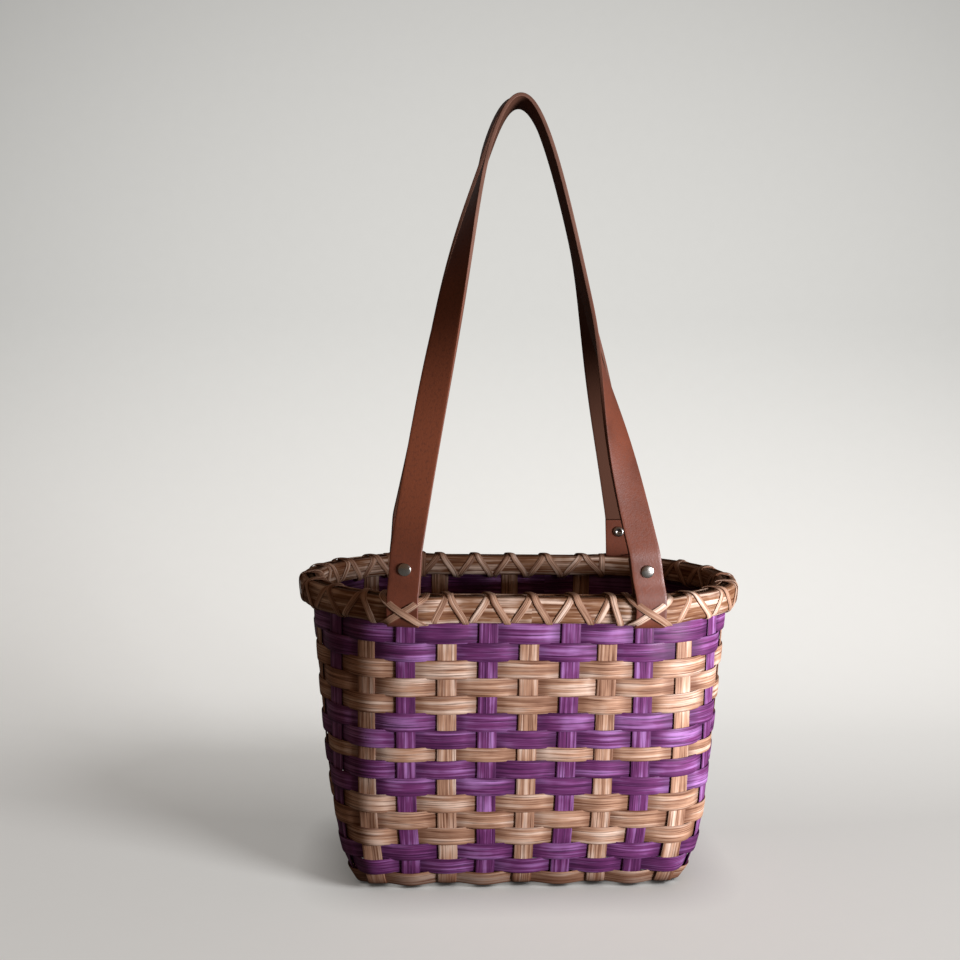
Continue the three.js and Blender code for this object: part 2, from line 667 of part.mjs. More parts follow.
// Strap: two legs that lean in, twist a quarter turn and meet in a narrow arch.
// Sags and twists have one value for the left leg and one for the right; a twist runs from one
// share of the leg to another, while the turn of the strap end fades out above the foot
function strapBody(leftK, rightK, { outY, apexUp, apexSide, apexRadius, sags, twists }) {
  const smooth = (s) => {
    const c = Math.min(Math.max(s, 0), 1);
    return c * c * (3 - 2 * c);
  };
  const foot = (k) => strapEndPoint(k, joinFront, BEND_UP + BEND_GAP);
  const left = foot(leftK);
  const right = foot(rightK);
  const apexY = outY * (STRAP_WIDTH / 2 + APEX_GAP / 2);
  const fall = new THREE.Vector3(0, (left.y + right.y) / 2 - apexY, (left.z + right.z) / 2 - apexUp);
  fall.normalize();
  const out = new THREE.Vector3(0, -outY * fall.z, outY * fall.y);
  const startAngles = [leftK, rightK].map((k) => Math.acos(Math.abs(wallFrame(k, WALL_TOP).w.x)));
  const leg = (p) => (p < 0 ? 0 : 1);
  const pointAt = (p) => {
    const u = p * p;
    const end = p < 0 ? left : right;
    const sag = sags[leg(p)];
    const drop = new THREE.Vector3(0, end.y - apexY, end.z - apexUp);
    const length = drop.length();
    const round = (2 * apexRadius) / length;
    const spread = Math.pow(end.x / length, 2) - round - sag;
    const x = p * length * Math.sqrt(round + spread * u + sag * u * u);
    const mid = apexSide * (1 - u);
    return new THREE.Vector3(mid + x, apexY, apexUp).addScaledVector(drop, u);
  };
  const stops = [
    ...steps(-1, -twists[0].to, TWIST_STEPS),
    ...steps(-twists[0].to, 0, Math.ceil(twists[0].to / ARCH_STEP_SHARE)),
    ...steps(0, twists[1].to, Math.ceil(twists[1].to / ARCH_STEP_SHARE)),
    ...steps(twists[1].to, 1, TWIST_STEPS),
    1,
  ];
  const points = [];
  const widths = [];
  for (const p of stops) {
    const along = pointAt(p + 1e-3).sub(pointAt(p - 1e-3)).normalize();
    const side = new THREE.Vector3().crossVectors(along, out).normalize();
    if (side.z < 0 && Math.abs(p) < 0.2) side.negate();
    if (side.x * p < 0 && Math.abs(p) >= 0.2) side.negate();
    const { from, to } = twists[leg(p)];
    const startAngle = startAngles[leg(p)] * (1 - smooth((1 - Math.abs(p)) / FOOT_SHARE));
    const twist = startAngle + (Math.PI / 2) * smooth((from - Math.abs(p)) / (from - to));
    const face = out.clone().multiplyScalar(Math.cos(twist)).addScaledVector(side, Math.sin(twist));
    points.push(pointAt(p));
    widths.push(new THREE.Vector3().crossVectors(along, face).normalize());
  }
  const rings = stripRings(points, widths, STRAP_WIDTH, STRAP_THICK, false);
  for (const [i, k] of [[0, leftK], [rings.length - 1, rightK]]) {
    const f = wallFrame(k, WALL_TOP);
    const base = foot(k);
    rings[i] = rings[i].map((q) => {
      const d = q.clone().sub(base);
      return q.addScaledVector(f.t, -d.dot(f.t));
    });
  }
  return rings;
}
const ends = [
  ['front_left', STAKE_COUNT - STRAP_STAKE_INDEX],
  ['front_right', STRAP_STAKE_INDEX],
  ['rear_right', HALF_TURN - STRAP_STAKE_INDEX],
  ['rear_left', HALF_TURN + STRAP_STAKE_INDEX],
];
for (const [name, k] of ends) {
  add(`${name}_strap_end`, drilled(strapEnd(k), k), LEATHER, 0.5, 0);
}
const frontStrap = strapBody(ends[0][1], ends[1][1], {
  outY: -1,
  apexUp: APEX_HEIGHT,
  apexSide: FRONT_APEX_SIDE,
  apexRadius: FRONT_APEX_RADIUS,
  sags: [FRONT_LEFT_SAG_SHARE, FRONT_RIGHT_SAG_SHARE],
  twists: [
    { from: FRONT_LEFT_TWIST_FROM, to: FRONT_LEFT_TWIST_SHARE },
    { from: 1, to: FRONT_RIGHT_TWIST_SHARE },
  ],
});
const rearStrap = strapBody(ends[3][1], ends[2][1], {
  outY: 1,
  apexUp: APEX_HEIGHT + REAR_APEX_RISE,
  apexSide: REAR_APEX_SIDE,
  apexRadius: REAR_APEX_RADIUS,
  sags: [REAR_LEFT_SAG_SHARE, REAR_RIGHT_SAG_SHARE],
  twists: [
    { from: REAR_LEFT_TWIST_FROM, to: REAR_LEFT_TWIST_SHARE },
    { from: 1, to: REAR_RIGHT_TWIST_SHARE },
  ],
});
add('front_strap', loft(frontStrap, false, true), LEATHER, 0.5, 0);
add('rear_strap', loft(rearStrap, false, true), LEATHER, 0.5, 0);
for (const [name, k] of ends) {
  add(`${name}_post`, faceOut(postShape.clone().applyMatrix4(postFrame(k))), NICKEL, 0.25, 1);
  add(`${name}_screw`, faceOut(screwShape.clone().applyMatrix4(postFrame(k))), NICKEL, 0.3, 1);
}

// Where the straps bend: the outermost edge of their lower ends
const foot = [...frontStrap[0], ...frontStrap[frontStrap.length - 1]];
const bendOut = Math.min(...foot.map((p) => p.y));
const bendUp = Math.max(...foot.map((p) => p.z)) - BEND_GAP / 2;
console.log('strap bend line: y', bendOut.toFixed(2), 'z', bendUp.toFixed(2));

export default group;
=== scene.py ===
"""Woven tote basket with two leather straps, dressed for rendering.

Lengths are in metres, +Z is up and the front looks towards -Y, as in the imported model.
"""

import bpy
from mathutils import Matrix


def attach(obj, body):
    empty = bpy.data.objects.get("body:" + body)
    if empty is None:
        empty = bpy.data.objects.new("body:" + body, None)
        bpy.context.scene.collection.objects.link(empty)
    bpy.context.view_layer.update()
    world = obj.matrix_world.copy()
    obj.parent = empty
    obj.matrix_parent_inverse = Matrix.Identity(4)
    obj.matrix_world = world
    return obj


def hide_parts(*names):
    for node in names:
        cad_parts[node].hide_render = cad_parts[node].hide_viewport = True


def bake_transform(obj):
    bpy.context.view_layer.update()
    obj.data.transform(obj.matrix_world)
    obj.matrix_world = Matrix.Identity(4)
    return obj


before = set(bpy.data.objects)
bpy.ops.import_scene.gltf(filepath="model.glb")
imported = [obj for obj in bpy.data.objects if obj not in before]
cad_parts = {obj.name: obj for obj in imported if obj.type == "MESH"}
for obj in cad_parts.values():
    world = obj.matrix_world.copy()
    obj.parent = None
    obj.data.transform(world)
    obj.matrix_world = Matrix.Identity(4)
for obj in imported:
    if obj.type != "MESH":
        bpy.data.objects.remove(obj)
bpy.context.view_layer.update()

from functools import partial

import bpy
import numpy as np
from mathutils import Matrix, Vector

bl_info = {
    "name": "Woven tote basket",
    "version": (1, 0, 0),
    "blender": (4, 5, 0),
    "location": "3D View > Sidebar > Tote",
    "description": "Builds a plain-woven reed tote basket with a lashed rim and leather straps",
    "category": "Add Mesh",
}

# Wall: a rounded rectangle that grows with height
BASE_HALF_LENGTH = 0.1205
BASE_HALF_DEPTH = 0.0585
END_LEAN = 0.115
END_ROUND = 0.0148
SIDE_LEAN = 0.045
SIDE_ROUND = 0.0165
ROUND_HEIGHT = 0.025
CORNER_SHARE_LOW = 0.24
CORNER_SHARE_HIGH = 0.985
CORNER_POWER = 0.8
BASE_SPREAD = 0.32
BASE_SPREAD_RISE = 1.5
SLOPE_SPAN = 0.002

# Faces that meet at a larger angle, in degrees, keep a sharp edge
SHARP_ANGLE = 48

# Weave: 9 cross stakes and 5 long stakes stand up as 28 ends; k counts them from the front's middle
STAKES = 28
CROSS_SPAN = 4
LONG_SPAN = 2
QUARTER_TURN = STAKES / 4
ROW_PATTERN = "nppnnnpptppnnnpp"
FULL_ROW = 0.0126
THIN_ROW = 0.0094
ROW_GAP = 0.0004
ROW_LAP = 0.0012
ROW_UNEVEN = 0.00012
FIRST_ROW_UP = 0.0016
BASE_LEVEL = 0.00275
BASE_LAYER = 0.00195
BASE_WAVE_SQUARE = 1.5
BASE_WAVE_END = 0.010
BASE_WAVE_FADE = 0.012
WALL_LAYER = 0.0028

# Rim: distances out from the wall's middle and up from the wall's top, and its superellipses' powers
RIM_FACE = 0.0036
RIM_TOP = 0.0229
STAKE_END = 0.0171
FILLER_UP = 0.01965
HOOP_POWER = 3.4
LASH_POWER = 4.4

# At the strap stakes the outer hoop stands off; it runs straight, then fades, in stake pitches
STRAP_STAKES = (3, -3, 11, 17)
RIM_BOW = 0.00335
RIM_BOW_STRAIGHT = 0.45
RIM_BOW_FADE = 0.62

# Stakes that stand off the even spacing, by how far, and the stake pitches over which that fades
SHIFTS = ((3, -0.0062), (11, -0.004))
SHIFT_REACH = 1.4
SHIFT_FADE = 0.8

# Lashing: gaps, and for its slants the share of the height where they begin and the share they span
LASH_GAP = 0.0031
LASH_AFTER_STRAP = 0.0057
LASH_CLEAR = 0.0001
LASH_CLEAR_LASH = 0.0002
LASH_CLEAR_STRAP = 0.0004
LASH_SLANT = (0.06, 0.88)
LASH_SLANT_STRAP = (0.04, 0.92)

# Strap ends: lines out from the wall's middle, heights up from the wall's top, stakes and splays
JOIN_BACK = 0.00745
JOIN_FRONT = 0.01075
BACK_LINE = 0.0051
FRONT_LINE = 0.0143
CLEAR = 0.00035
TURN_UP = 0.0056
STRAIGHT_UP = 0.012
SHOULDER_UP = 0.0234
NECK_UP = 0.0339
POST_UP = 0.0424
CAP_UP = 0.047
TAIL_UP = 0.0524
BEND_UP = 0.054
ENDS = {"front_left": 25, "front_right": 3, "rear_right": 11, "rear_left": 17}
SPLAYS = {25: 0.058, 3: 0.171, 11: 0.049, 17: 0.058}

# Strap arches; sag and the two ends of the twist have a value for the left leg and one for the right
APEX_GAP = 0.0012
FOOT_SHARE = 0.15
ARCHES = {
    "front": {"up": 0.584, "side": -0.0083, "radius": 0.00615, "sag": (-0.013, 0.023),
              "twist_from": (0.97, 1.0), "twist_to": (0.309, 0.69)},
    "rear": {"up": 0.5894, "side": -0.0090, "radius": 0.0074, "sag": (0.03, -0.015),
             "twist_from": (0.85, 1.0), "twist_to": (0.31, 0.56)},
}


def linear(hex_colour):
    """sRGB hex text to a linear RGBA colour."""
    c = np.array([int(hex_colour[i:i + 2], 16) / 255 for i in (1, 3, 5)])
    c = np.where(c <= 0.04045, c / 12.92, ((c + 0.055) / 1.055) ** 2.4)
    return (float(c[0]), float(c[1]), float(c[2]), 1.0)


def length(name, text, default):
    """A length property in metres."""
    return bpy.props.FloatProperty(
        name=name, description=text, default=default, min=0.0, unit="LENGTH", precision=5)


def colour(name, text, hex_colour):
    """A colour property from sRGB hex text."""
    return bpy.props.FloatVectorProperty(
        name=name, description=text, default=linear(hex_colour), size=4, min=0.0, max=1.0, subtype="COLOR")


class ReedSizes(bpy.types.PropertyGroup):
    """Sizes of the flat reed."""
    stake_width: length("Stake width", "Width of the upright reed", 0.014)
    stake_thick: length("Stake thickness", "Thickness of the upright reed", 0.0012)
    row_width: length("Row width", "Width of a woven row", 0.0139)
    thin_row_width: length("Thin row width", "Width of the narrow row in the middle", 0.0106)
    row_thick: length("Row thickness", "Thickness of a woven row", 0.0009)
    row_lift: length("Row lift", "How far a row stands off the wall's middle at a stake's edge", 0.0012)
    rim_row_lift: length("Rim row lift", "The same for the row that the rim hides", 0.0009)
    top_row_rise: length("Top row rise", "How far the top row reaches up behind the rim", 0.0066)


class RimSizes(bpy.types.PropertyGroup):
    """Sizes of the rim hoops, their filler and the lashing."""
    height: length("Rim height", "Height of the outer half-round hoop", 0.0191)
    inner_lift: length("Inner hoop lift", "How much higher the inner hoop's lower edge lies", 0.0028)
    thick: length("Rim thickness", "Thickness of each hoop", 0.0055)
    filler_radius: length("Filler radius", "Radius of the cord between the hoops", 0.0022)
    lash_width: length("Lashing width", "Width of the lashing reed", 0.005)
    lash_thick: length("Lashing thickness", "Thickness of the lashing reed", 0.0008)
    lash_step: length("Lashing step", "How far the lashing moves on as it crosses the top", 0.0019)
    beside_strap: length("Beside the strap", "Clearance of the lashing from the leather's edge", 0.004)


class StrapSizes(bpy.types.PropertyGroup):
    """Sizes of the straps and their screw posts."""
    width: length("Strap width", "Width of the leather", 0.0222)
    thick: length("Strap thickness", "Thickness of the leather", 0.003)
    cap_radius: length("Cap radius", "Radius of the domed post cap", 0.0046)
    cap_thick: length("Cap height", "Height of the domed post cap", 0.0017)
    barrel_radius: length("Barrel radius", "Radius of the post's barrel", 0.0025)
    head_radius: length("Screw head radius", "Radius of the screw's head", 0.0045)
    head_thick: length("Screw head height", "Height of the screw's head", 0.0015)
    recess_radius: length("Recess radius", "Radius of the screw's drive recess", 0.0019)


class ToteColours(bpy.types.PropertyGroup):
    """Colours of the reed, the leather and the stage."""
    natural: colour("Natural reed", "Undyed reed", "#c89a7c")
    natural_light: colour("Natural reed, light", "Pale streaks of undyed reed", "#f6dac4")
    natural_grain: colour("Natural reed, grain", "Brown grain lines of undyed reed", "#5c2f18")
    dyed: colour("Dyed reed", "Purple dyed reed", "#7a3a70")
    dyed_light: colour("Dyed reed, light", "Lilac streaks where the dye took less", "#bd86c6")
    dyed_grain: colour("Dyed reed, grain", "Dark grain lines of dyed reed", "#381338")
    rim: colour("Rim reed", "Half-round reed of the rim", "#93694b")
    lashing: colour("Lashing reed", "Pale reed that binds the rim", "#c59b7f")
    cord: colour("Filler cord", "Seagrass cord between the hoops", "#5c4630")
    leather: colour("Leather", "Finished side of the straps", "#723d2b")
    # Painted light: a lighter face colour for part of the straps' left leg
    leather_worn: colour("Leather, handled", "Finished side where hands have lightened it", "#8a4b32")
    leather_edge: colour("Leather edge", "Cut edge of the straps", "#a67a68")
    leather_back: colour("Leather back", "Flesh side of the straps", "#603f31")
    nickel: colour("Nickel", "Plated steel of the screw posts", "#c9c4bc")
    floor: colour("Floor", "Paper sweep under and behind the basket", "#e9e8e4")


# Shape of the wall

def rounding(z):
    """Share of the low flare that is reached at height z: 1 - exp(-z / ROUND_HEIGHT)."""
    return 1 - np.exp(-z / ROUND_HEIGHT)


# Distance up the front wall against height: the running sum of the slope's length
_Z = np.linspace(0, 0.26, 2601)
_SLOPE = SIDE_LEAN + SIDE_ROUND / ROUND_HEIGHT * np.exp(-_Z / ROUND_HEIGHT)
_V = np.concatenate([[0], np.cumsum(np.hypot(1, _SLOPE[:-1]) * np.diff(_Z))])
_ROW_WIDTHS = np.array([THIN_ROW if mark == "t" else FULL_ROW for mark in ROW_PATTERN])
ROW_EDGES = FIRST_ROW_UP + np.concatenate([[0], np.cumsum(_ROW_WIDTHS + ROW_GAP)])
WALL_TOP = ROW_EDGES[-1]
TOP_HEIGHT = np.interp(WALL_TOP, _V, _Z)


def turns_from(k, stake):
    """Signed number of stake pitches from a stake, the short way round."""
    return (k - stake + 1.5 * STAKES) % STAKES - STAKES / 2


def plan(k, z):
    """Wall point and sideways direction at stake place k and height z.

    The plan is a rounded rectangle. Place k runs along its outline, a quarter turn of stakes to each
    quarter of the outline, and the right strap stakes drift a little off the even spacing.
    """
    k, z = np.broadcast_arrays(np.asarray(k, float), np.asarray(z, float))
    a = BASE_HALF_LENGTH + END_LEAN * z + END_ROUND * rounding(z)
    b = BASE_HALF_DEPTH + SIDE_LEAN * z + SIDE_ROUND * rounding(z)
    rise = np.clip(z / TOP_HEIGHT, 0, 1) ** CORNER_POWER
    r = b * (CORNER_SHARE_LOW + (CORNER_SHARE_HIGH - CORNER_SHARE_LOW) * rise)
    quarter = a - r + b - r + np.pi / 2 * r
    drift = sum(shift * np.clip((SHIFT_REACH - np.abs(turns_from(k, stake))) / SHIFT_FADE, 0, 1)
                for stake, shift in SHIFTS)
    spread = BASE_SPREAD * np.sin(np.pi * k / QUARTER_TURN)
    spread = spread * np.maximum(1 - z / (BASE_SPREAD_RISE * ROUND_HEIGHT), 0) ** 2
    turn = ((k + spread + rise * drift * QUARTER_TURN / quarter) / QUARTER_TURN) % 4
    quad = np.floor(turn)
    part = turn - quad
    s = np.where(quad % 2 == 1, 1 - part, part) * quarter
    angle = np.clip((s - (a - r)) / r, 0, np.pi / 2)
    x = np.where(s > a - r, a - r + r * np.sin(angle), s)
    y = -(b - r) - r * np.cos(angle) + np.maximum(s - (a - r) - np.pi / 2 * r, 0)
    sx = np.where(quad < 2, 1.0, -1.0)
    sy = np.where((quad == 0) | (quad == 3), 1.0, -1.0)
    side = np.stack([sy * np.cos(angle), sx * np.sin(angle), np.zeros_like(x)], -1)
    return np.stack([sx * x, sy * y, BASE_LEVEL + z], -1), side


def unit(v):
    """Vectors scaled to length one."""
    return v / np.maximum(np.linalg.norm(v, axis=-1, keepdims=True), 1e-12)


def squared(v, along):
    """Vectors turned square to unit directions, at length one."""
    return unit(v - along * np.sum(along * v, -1, keepdims=True))


def wall(k, v):
    """Wall frame at place k and distance v up the wall: point, sideways w, up t, outward n.

    The up direction is the slope between two nearby heights, squared to w. Above the wall's top the
    frame runs on straight.
    """
    k, v = np.broadcast_arrays(np.asarray(k, float), np.asarray(v, float))
    at = np.minimum(v, WALL_TOP)
    p, w = plan(k, np.interp(at, _V, _Z))
    high = plan(k, np.interp(np.minimum(at + SLOPE_SPAN, WALL_TOP), _V, _Z))[0]
    low = plan(k, np.interp(np.maximum(at - SLOPE_SPAN, 0), _V, _Z))[0]
    t = squared(high - low, w)
    return p + t * np.maximum(v - WALL_TOP, 0)[..., None], w, t, np.cross(w, t)


def rim_point(k, a, b):
    """Point at the rim: out from the wall's middle by a, up from the wall's top by b."""
    k, a, b = np.broadcast_arrays(k, a, b)
    p, _, t, n = wall(k, WALL_TOP)
    return p + n * a[..., None] + t * b[..., None]


TOP_PITCH = float(np.linalg.norm(rim_point(1.0, 0.0, 0.0) - rim_point(0.0, 0.0, 0.0)))


def smooth(x):
    """Smooth step from 0 to 1."""
    x = np.clip(x, 0, 1)
    return x * x * (3 - 2 * x)


def boxed(c, power):
    """Cosine or sine of a superellipse of some power: sign(c) |c|^(2 / power)."""
    return np.sign(c) * np.abs(c) ** (2 / power)


def outer_rim_point(k, a, b):
    """Rim point that stands off and runs straight at the strap stakes, where leather passes behind it.

    It is the plain rim point mixed with a point on the tangent line at the strap stake, moved out by
    RIM_BOW, with a weight that fades from half a stake to one stake away.
    """
    k, a, b = np.broadcast_arrays(k, a, b)
    point = rim_point(k, a, b)
    for stake in STRAP_STAKES:
        turns = turns_from(k, stake)
        weight = 1 - smooth((np.abs(turns) - RIM_BOW_STRAIGHT) / RIM_BOW_FADE)
        w = wall(stake, WALL_TOP)[1]
        line = rim_point(stake, a + RIM_BOW, b) + w * (turns * TOP_PITCH)[..., None]
        point = np.where(weight[..., None] > 0, point + (line - point) * weight[..., None], point)
    return point


# Meshes from grids

def running(points, closed=False):
    """Distance along a path at each point, from 0; a closed path adds the step back to its start."""
    if closed:
        points = np.concatenate([points, points[:1]])
    return np.concatenate([[0], np.cumsum(np.linalg.norm(np.diff(points, axis=0), axis=-1))])


def cells(grid):
    """The four corners of every cell of a grid, round the cell."""
    corners = np.stack([grid[:-1, :-1], grid[1:, :-1], grid[1:, 1:], grid[:-1, 1:]], 2)
    return corners.reshape(-1, 4, *grid.shape[2:])


def grid_piece(name, points, closed, across, attributes, material, shift=0.0):
    """Closed body from a grid of points, rings along a path by points round a profile.

    The profile is always closed; the path is closed, or open with flat ends. UV holds metres: u along
    the path through the profile's first point, v round the profile as given in across, which has one
    more value than the profile has points. Faces are turned outwards by the sign of the volume.
    """
    n, m = points.shape[:2]
    index = np.pad(np.arange(n * m).reshape(n, m), ((0, 1 if closed else 0), (0, 1)), mode="wrap")
    faces = cells(index)
    along = running(points[:, 0], True)
    uv = cells(np.stack(np.broadcast_arrays(along[:len(index), None], across), -1))
    flat = points.reshape(-1, 3)
    q = flat[faces] - flat.mean(0)
    volume = np.sum(q[:, 0] * np.cross(q[:, 1], q[:, 2])) + np.sum(q[:, 0] * np.cross(q[:, 2], q[:, 3]))
    turned = volume < 0
    if turned:
        faces, uv = faces[:, ::-1], uv[:, ::-1]
    loops = [faces.reshape(-1)]
    spots = [uv.reshape(-1, 2)]
    starts = [np.arange(len(faces)) * 4]
    if not closed:
        for ring, at in ((np.arange(m), 0.0), ((n - 1) * m + np.arange(m)[::-1], along[n - 1])):
            ring = ring[::-1] if turned else ring
            starts.append(np.array([sum(len(part) for part in loops)]))
            loops.append(ring)
            spots.append(np.stack([np.full(m, at), across[:m]], -1))
    loops, spots, starts = np.concatenate(loops), np.concatenate(spots), np.concatenate(starts)
    mesh = bpy.data.meshes.new(name)
    mesh.vertices.add(len(flat))
    mesh.vertices.foreach_set("co", flat.astype(np.float32).ravel())
    mesh.loops.add(len(loops))
    mesh.loops.foreach_set("vertex_index", loops.astype(np.int32))
    mesh.polygons.add(len(starts))
    mesh.polygons.foreach_set("loop_start", starts.astype(np.int32))
    mesh.polygons.foreach_set("use_smooth", np.ones(len(starts), bool))
    mesh.update(calc_edges=True)
    layer = mesh.uv_layers.new(name="UVMap")
    layer.uv.foreach_set("vector", (spots + shift).astype(np.float32).ravel())
    for key, values in attributes.items():
        values = np.broadcast_to(values, (n, m)).astype(np.float32).ravel()
        mesh.attributes.new(key, "FLOAT", "POINT").data.foreach_set("value", values)
    mesh.set_sharp_from_angle(angle=np.radians(SHARP_ANGLE))
    if mesh.validate():
        raise RuntimeError(name + " isn't a sound mesh")
    mesh.materials.append(material)
    piece = bpy.data.objects.new(name, mesh)
    bpy.context.scene.collection.objects.link(piece)
    return piece


def flat_profile(width, thick, crown):
    """Section of a flat strip: crowned faces that meet in rounded edges.

    Returns the points as (across, through), the metres round it, and how close each is to an edge.
    The through height at share s of the half width is thick / 2 * (1 - crown * s^2) * (1 - s^9)^(1/2).
    """
    s = np.array([-1, -0.985, -0.94, -0.86, -0.7, -0.45, -0.15, 0.15, 0.45, 0.7, 0.86, 0.94, 0.985, 1])
    height = (1 - crown * s ** 2) * np.sqrt(1 - np.abs(s) ** 9)
    around = np.concatenate([s, s[-2:0:-1]])
    y = np.concatenate([height, -height[-2:0:-1]]) * thick / 2
    profile = np.stack([around * width / 2, y], -1)
    return profile, running(profile, True), np.abs(around) ** 6


def sweep(path, across, normal, profile):
    """Profile carried along a path: path + across * x + normal * y for every profile point (x, y)."""
    return path[:, None] + across[:, None] * profile[None, :, :1] + normal[:, None] * profile[None, :, 1:]


def directions(path, closed):
    """Unit direction along a path, from the points before and after each one."""
    if closed:
        return unit(np.roll(path, -1, 0) - np.roll(path, 1, 0))
    return unit(np.gradient(path, axis=0))


def between(at, places, points):
    """Points at new places, straight between those at the given places."""
    return np.stack([np.interp(at, places, points[:, c]) for c in range(points.shape[1])], -1)


def even(path, spacing):
    """Path resampled at even distances along itself; returns the points and their place in the input."""
    run = running(path)
    at = np.linspace(0, run[-1], int(run[-1] / spacing) + 1)
    return between(at, run, path), np.interp(at, run, np.arange(len(path)))


def eased(path, spread):
    """Open path with its bends eased: a bell-weighted mean over spread points each way, ends kept."""
    pad = 2 * spread
    weights = np.exp(-0.5 * (np.arange(-pad, pad + 1) / spread) ** 2)
    weights = weights / weights.sum()
    longer = np.concatenate([2 * path[:1] - path[pad:0:-1], path, 2 * path[-1:] - path[-2:-pad - 2:-1]])
    return np.stack([np.convolve(longer[:, c], weights, "valid") for c in range(path.shape[1])], -1)


def strip_frame(path, sides, spacing, ease=0):
    """Frame of a flat strip: its path at even spacing with the bends eased, sides and normals.

    The sides are carried over by distance along the path, eased over some points each way where asked,
    and squared to the path. The last value is each point's share of the whole length.
    """
    run = running(path)
    path, _ = even(path, spacing)
    at = np.linspace(0, run[-1], len(path))
    sides = between(at, run, sides)
    sides = unit(eased(sides, ease) if ease else sides)
    path = eased(path, 2)
    along = directions(path, False)
    sides = squared(sides, along)
    return path, sides, np.cross(sides, along), at / run[-1]


def waviness(count, turns, seed):
    """Slow closed wave of about unit height: a sum of sines with seeded heights and phases."""
    rng = np.random.default_rng(seed)
    angle = np.linspace(0, 2 * np.pi, count, endpoint=False)
    orders = np.arange(2, turns)[:, None]
    heights = rng.normal(size=(len(orders), 1)) / np.sqrt(len(orders))
    phases = rng.uniform(0, 2 * np.pi, (len(orders), 1))
    return np.sum(heights * np.sin(orders * angle + phases), 0)


# Materials

def connect(tree, node, inputs):
    """Sets a node's inputs, by name or number: a socket is linked, anything else is a value."""
    for key, value in inputs.items():
        if isinstance(value, bpy.types.NodeSocket):
            tree.links.new(value, node.inputs[key])
        else:
            node.inputs[key].default_value = value


def add(tree, kind, inputs=None, out=0, stops=(), **settings):
    """Adds a node with its settings, ramp stops and inputs; returns its output of that name or number."""
    node = tree.nodes.new("ShaderNode" + kind)
    for key, value in settings.items():
        setattr(node, key, value)
    for number, (place, shade) in enumerate(stops):
        elements = node.color_ramp.elements
        element = elements[number] if number < len(elements) else elements.new(place)
        element.position, element.color = place, shade
    connect(tree, node, inputs or {})
    return node.outputs[out]


def toned(shade, by):
    """Colour made darker or lighter."""
    return tuple(min(1.0, by * c) for c in shade[:3]) + (1.0,)


def drawn_out(node, uv, marks, detail=2.0, roughness=0.5, turn=0.0):
    """Noise drawn out along a strip: marks per metre along and across it, turned by an angle."""
    at = node("Mapping", {"Vector": uv, "Rotation": (0, 0, turn), "Scale": (*marks, 1)})
    return node("TexNoise", {"Vector": at, "Scale": 1.0, "Detail": detail, "Roughness": roughness}, "Fac")


def reed_material(node, body, light, grain, gloss, shine, streak_width=0.0011):
    """Split rattan core: long straight fibres as streaks of light and dark, with fine ridges.

    The fibres are about 0.3 mm wide in the real reed; they are drawn about 1 mm wide so that they show.
    Edges, dips in the weave and the lowest 2 cm are darkened towards the grain: painted shade where it
    falls in the gaps, behind the stakes and near the floor, and at the edges partly their own darker edge.
    """
    uv = node("TexCoord", out="UV")
    fibres = drawn_out(node, uv, (22, 1 / streak_width), 3.0, 0.6)
    broad = drawn_out(node, uv, (9, 260))
    patch = drawn_out(node, uv, (28, 28), 3.0)
    tone = node("Mix", {"Factor": 0.45, "A": broad, "B": patch}, data_type="FLOAT")
    dark = tuple(0.4 * b + 0.6 * g for b, g in zip(body, grain))
    shade = node("ValToRGB", {"Fac": tone}, stops=((0.37, dark), (0.5, body), (0.63, light)))
    line = node("MapRange", {"Value": fibres, "From Min": 0.52, "From Max": 0.34, "To Max": 0.85})
    pale = node("MapRange", {"Value": fibres, "From Min": 0.56, "From Max": 0.76, "To Max": 0.6})
    # Painted shade in the gaps along the edges, partly the reed's own darker edge, and where a row dips
    # behind a stake
    edge, sunk = (node("Attribute", out="Fac", attribute_name=key) for key in ("edge", "sunk"))
    worn = node("Math", {0: edge, 1: sunk}, operation="MAXIMUM")
    worn = node("Math", {0: worn, 1: 0.55}, operation="MULTIPLY")
    # Painted shade near the floor: darker towards the bottom over the lowest 2 cm
    up = node("SeparateXYZ", {0: node("TexCoord", out="Object")}, "Z")
    rubbed = node("MapRange", {"Value": up, "From Min": 0.003, "From Max": 0.019,
                               "To Min": 0.78, "To Max": 0.0})
    stained = node("Math", {0: worn, 1: rubbed}, operation="MAXIMUM")
    for share, over in ((line, grain), (pale, light), (stained, grain)):
        shade = node("Mix", {"Factor": share, "A": shade, "B": over}, 2, data_type="RGBA")
    rough = node("MapRange", {"Value": fibres, "From Min": 0.3, "From Max": 0.7,
                              "To Min": gloss + 0.16, "To Max": gloss - 0.06})
    height = node("Mix", {"Factor": 0.35, "A": fibres, "B": broad}, data_type="FLOAT")
    ridges = node("Bump", {"Strength": 0.9, "Distance": 0.00016, "Height": height})
    return {"Base Color": shade, "Roughness": rough, "Normal": ridges, "Specular IOR Level": shine}


def seagrass_material(node, body):
    """Twisted seagrass: thin dull blades wound round the cord, pale and brown side by side."""
    blades = drawn_out(node, node("TexCoord", out="UV"), (120, 900), turn=0.6)
    shade = node("ValToRGB", {"Fac": blades},
                 stops=((0.32, toned(body, 0.35)), (0.5, body), (0.7, toned(body, 1.35))))
    ridges = node("Bump", {"Strength": 0.8, "Distance": 0.0003, "Height": blades})
    return {"Base Color": shade, "Roughness": 0.8, "Normal": ridges}


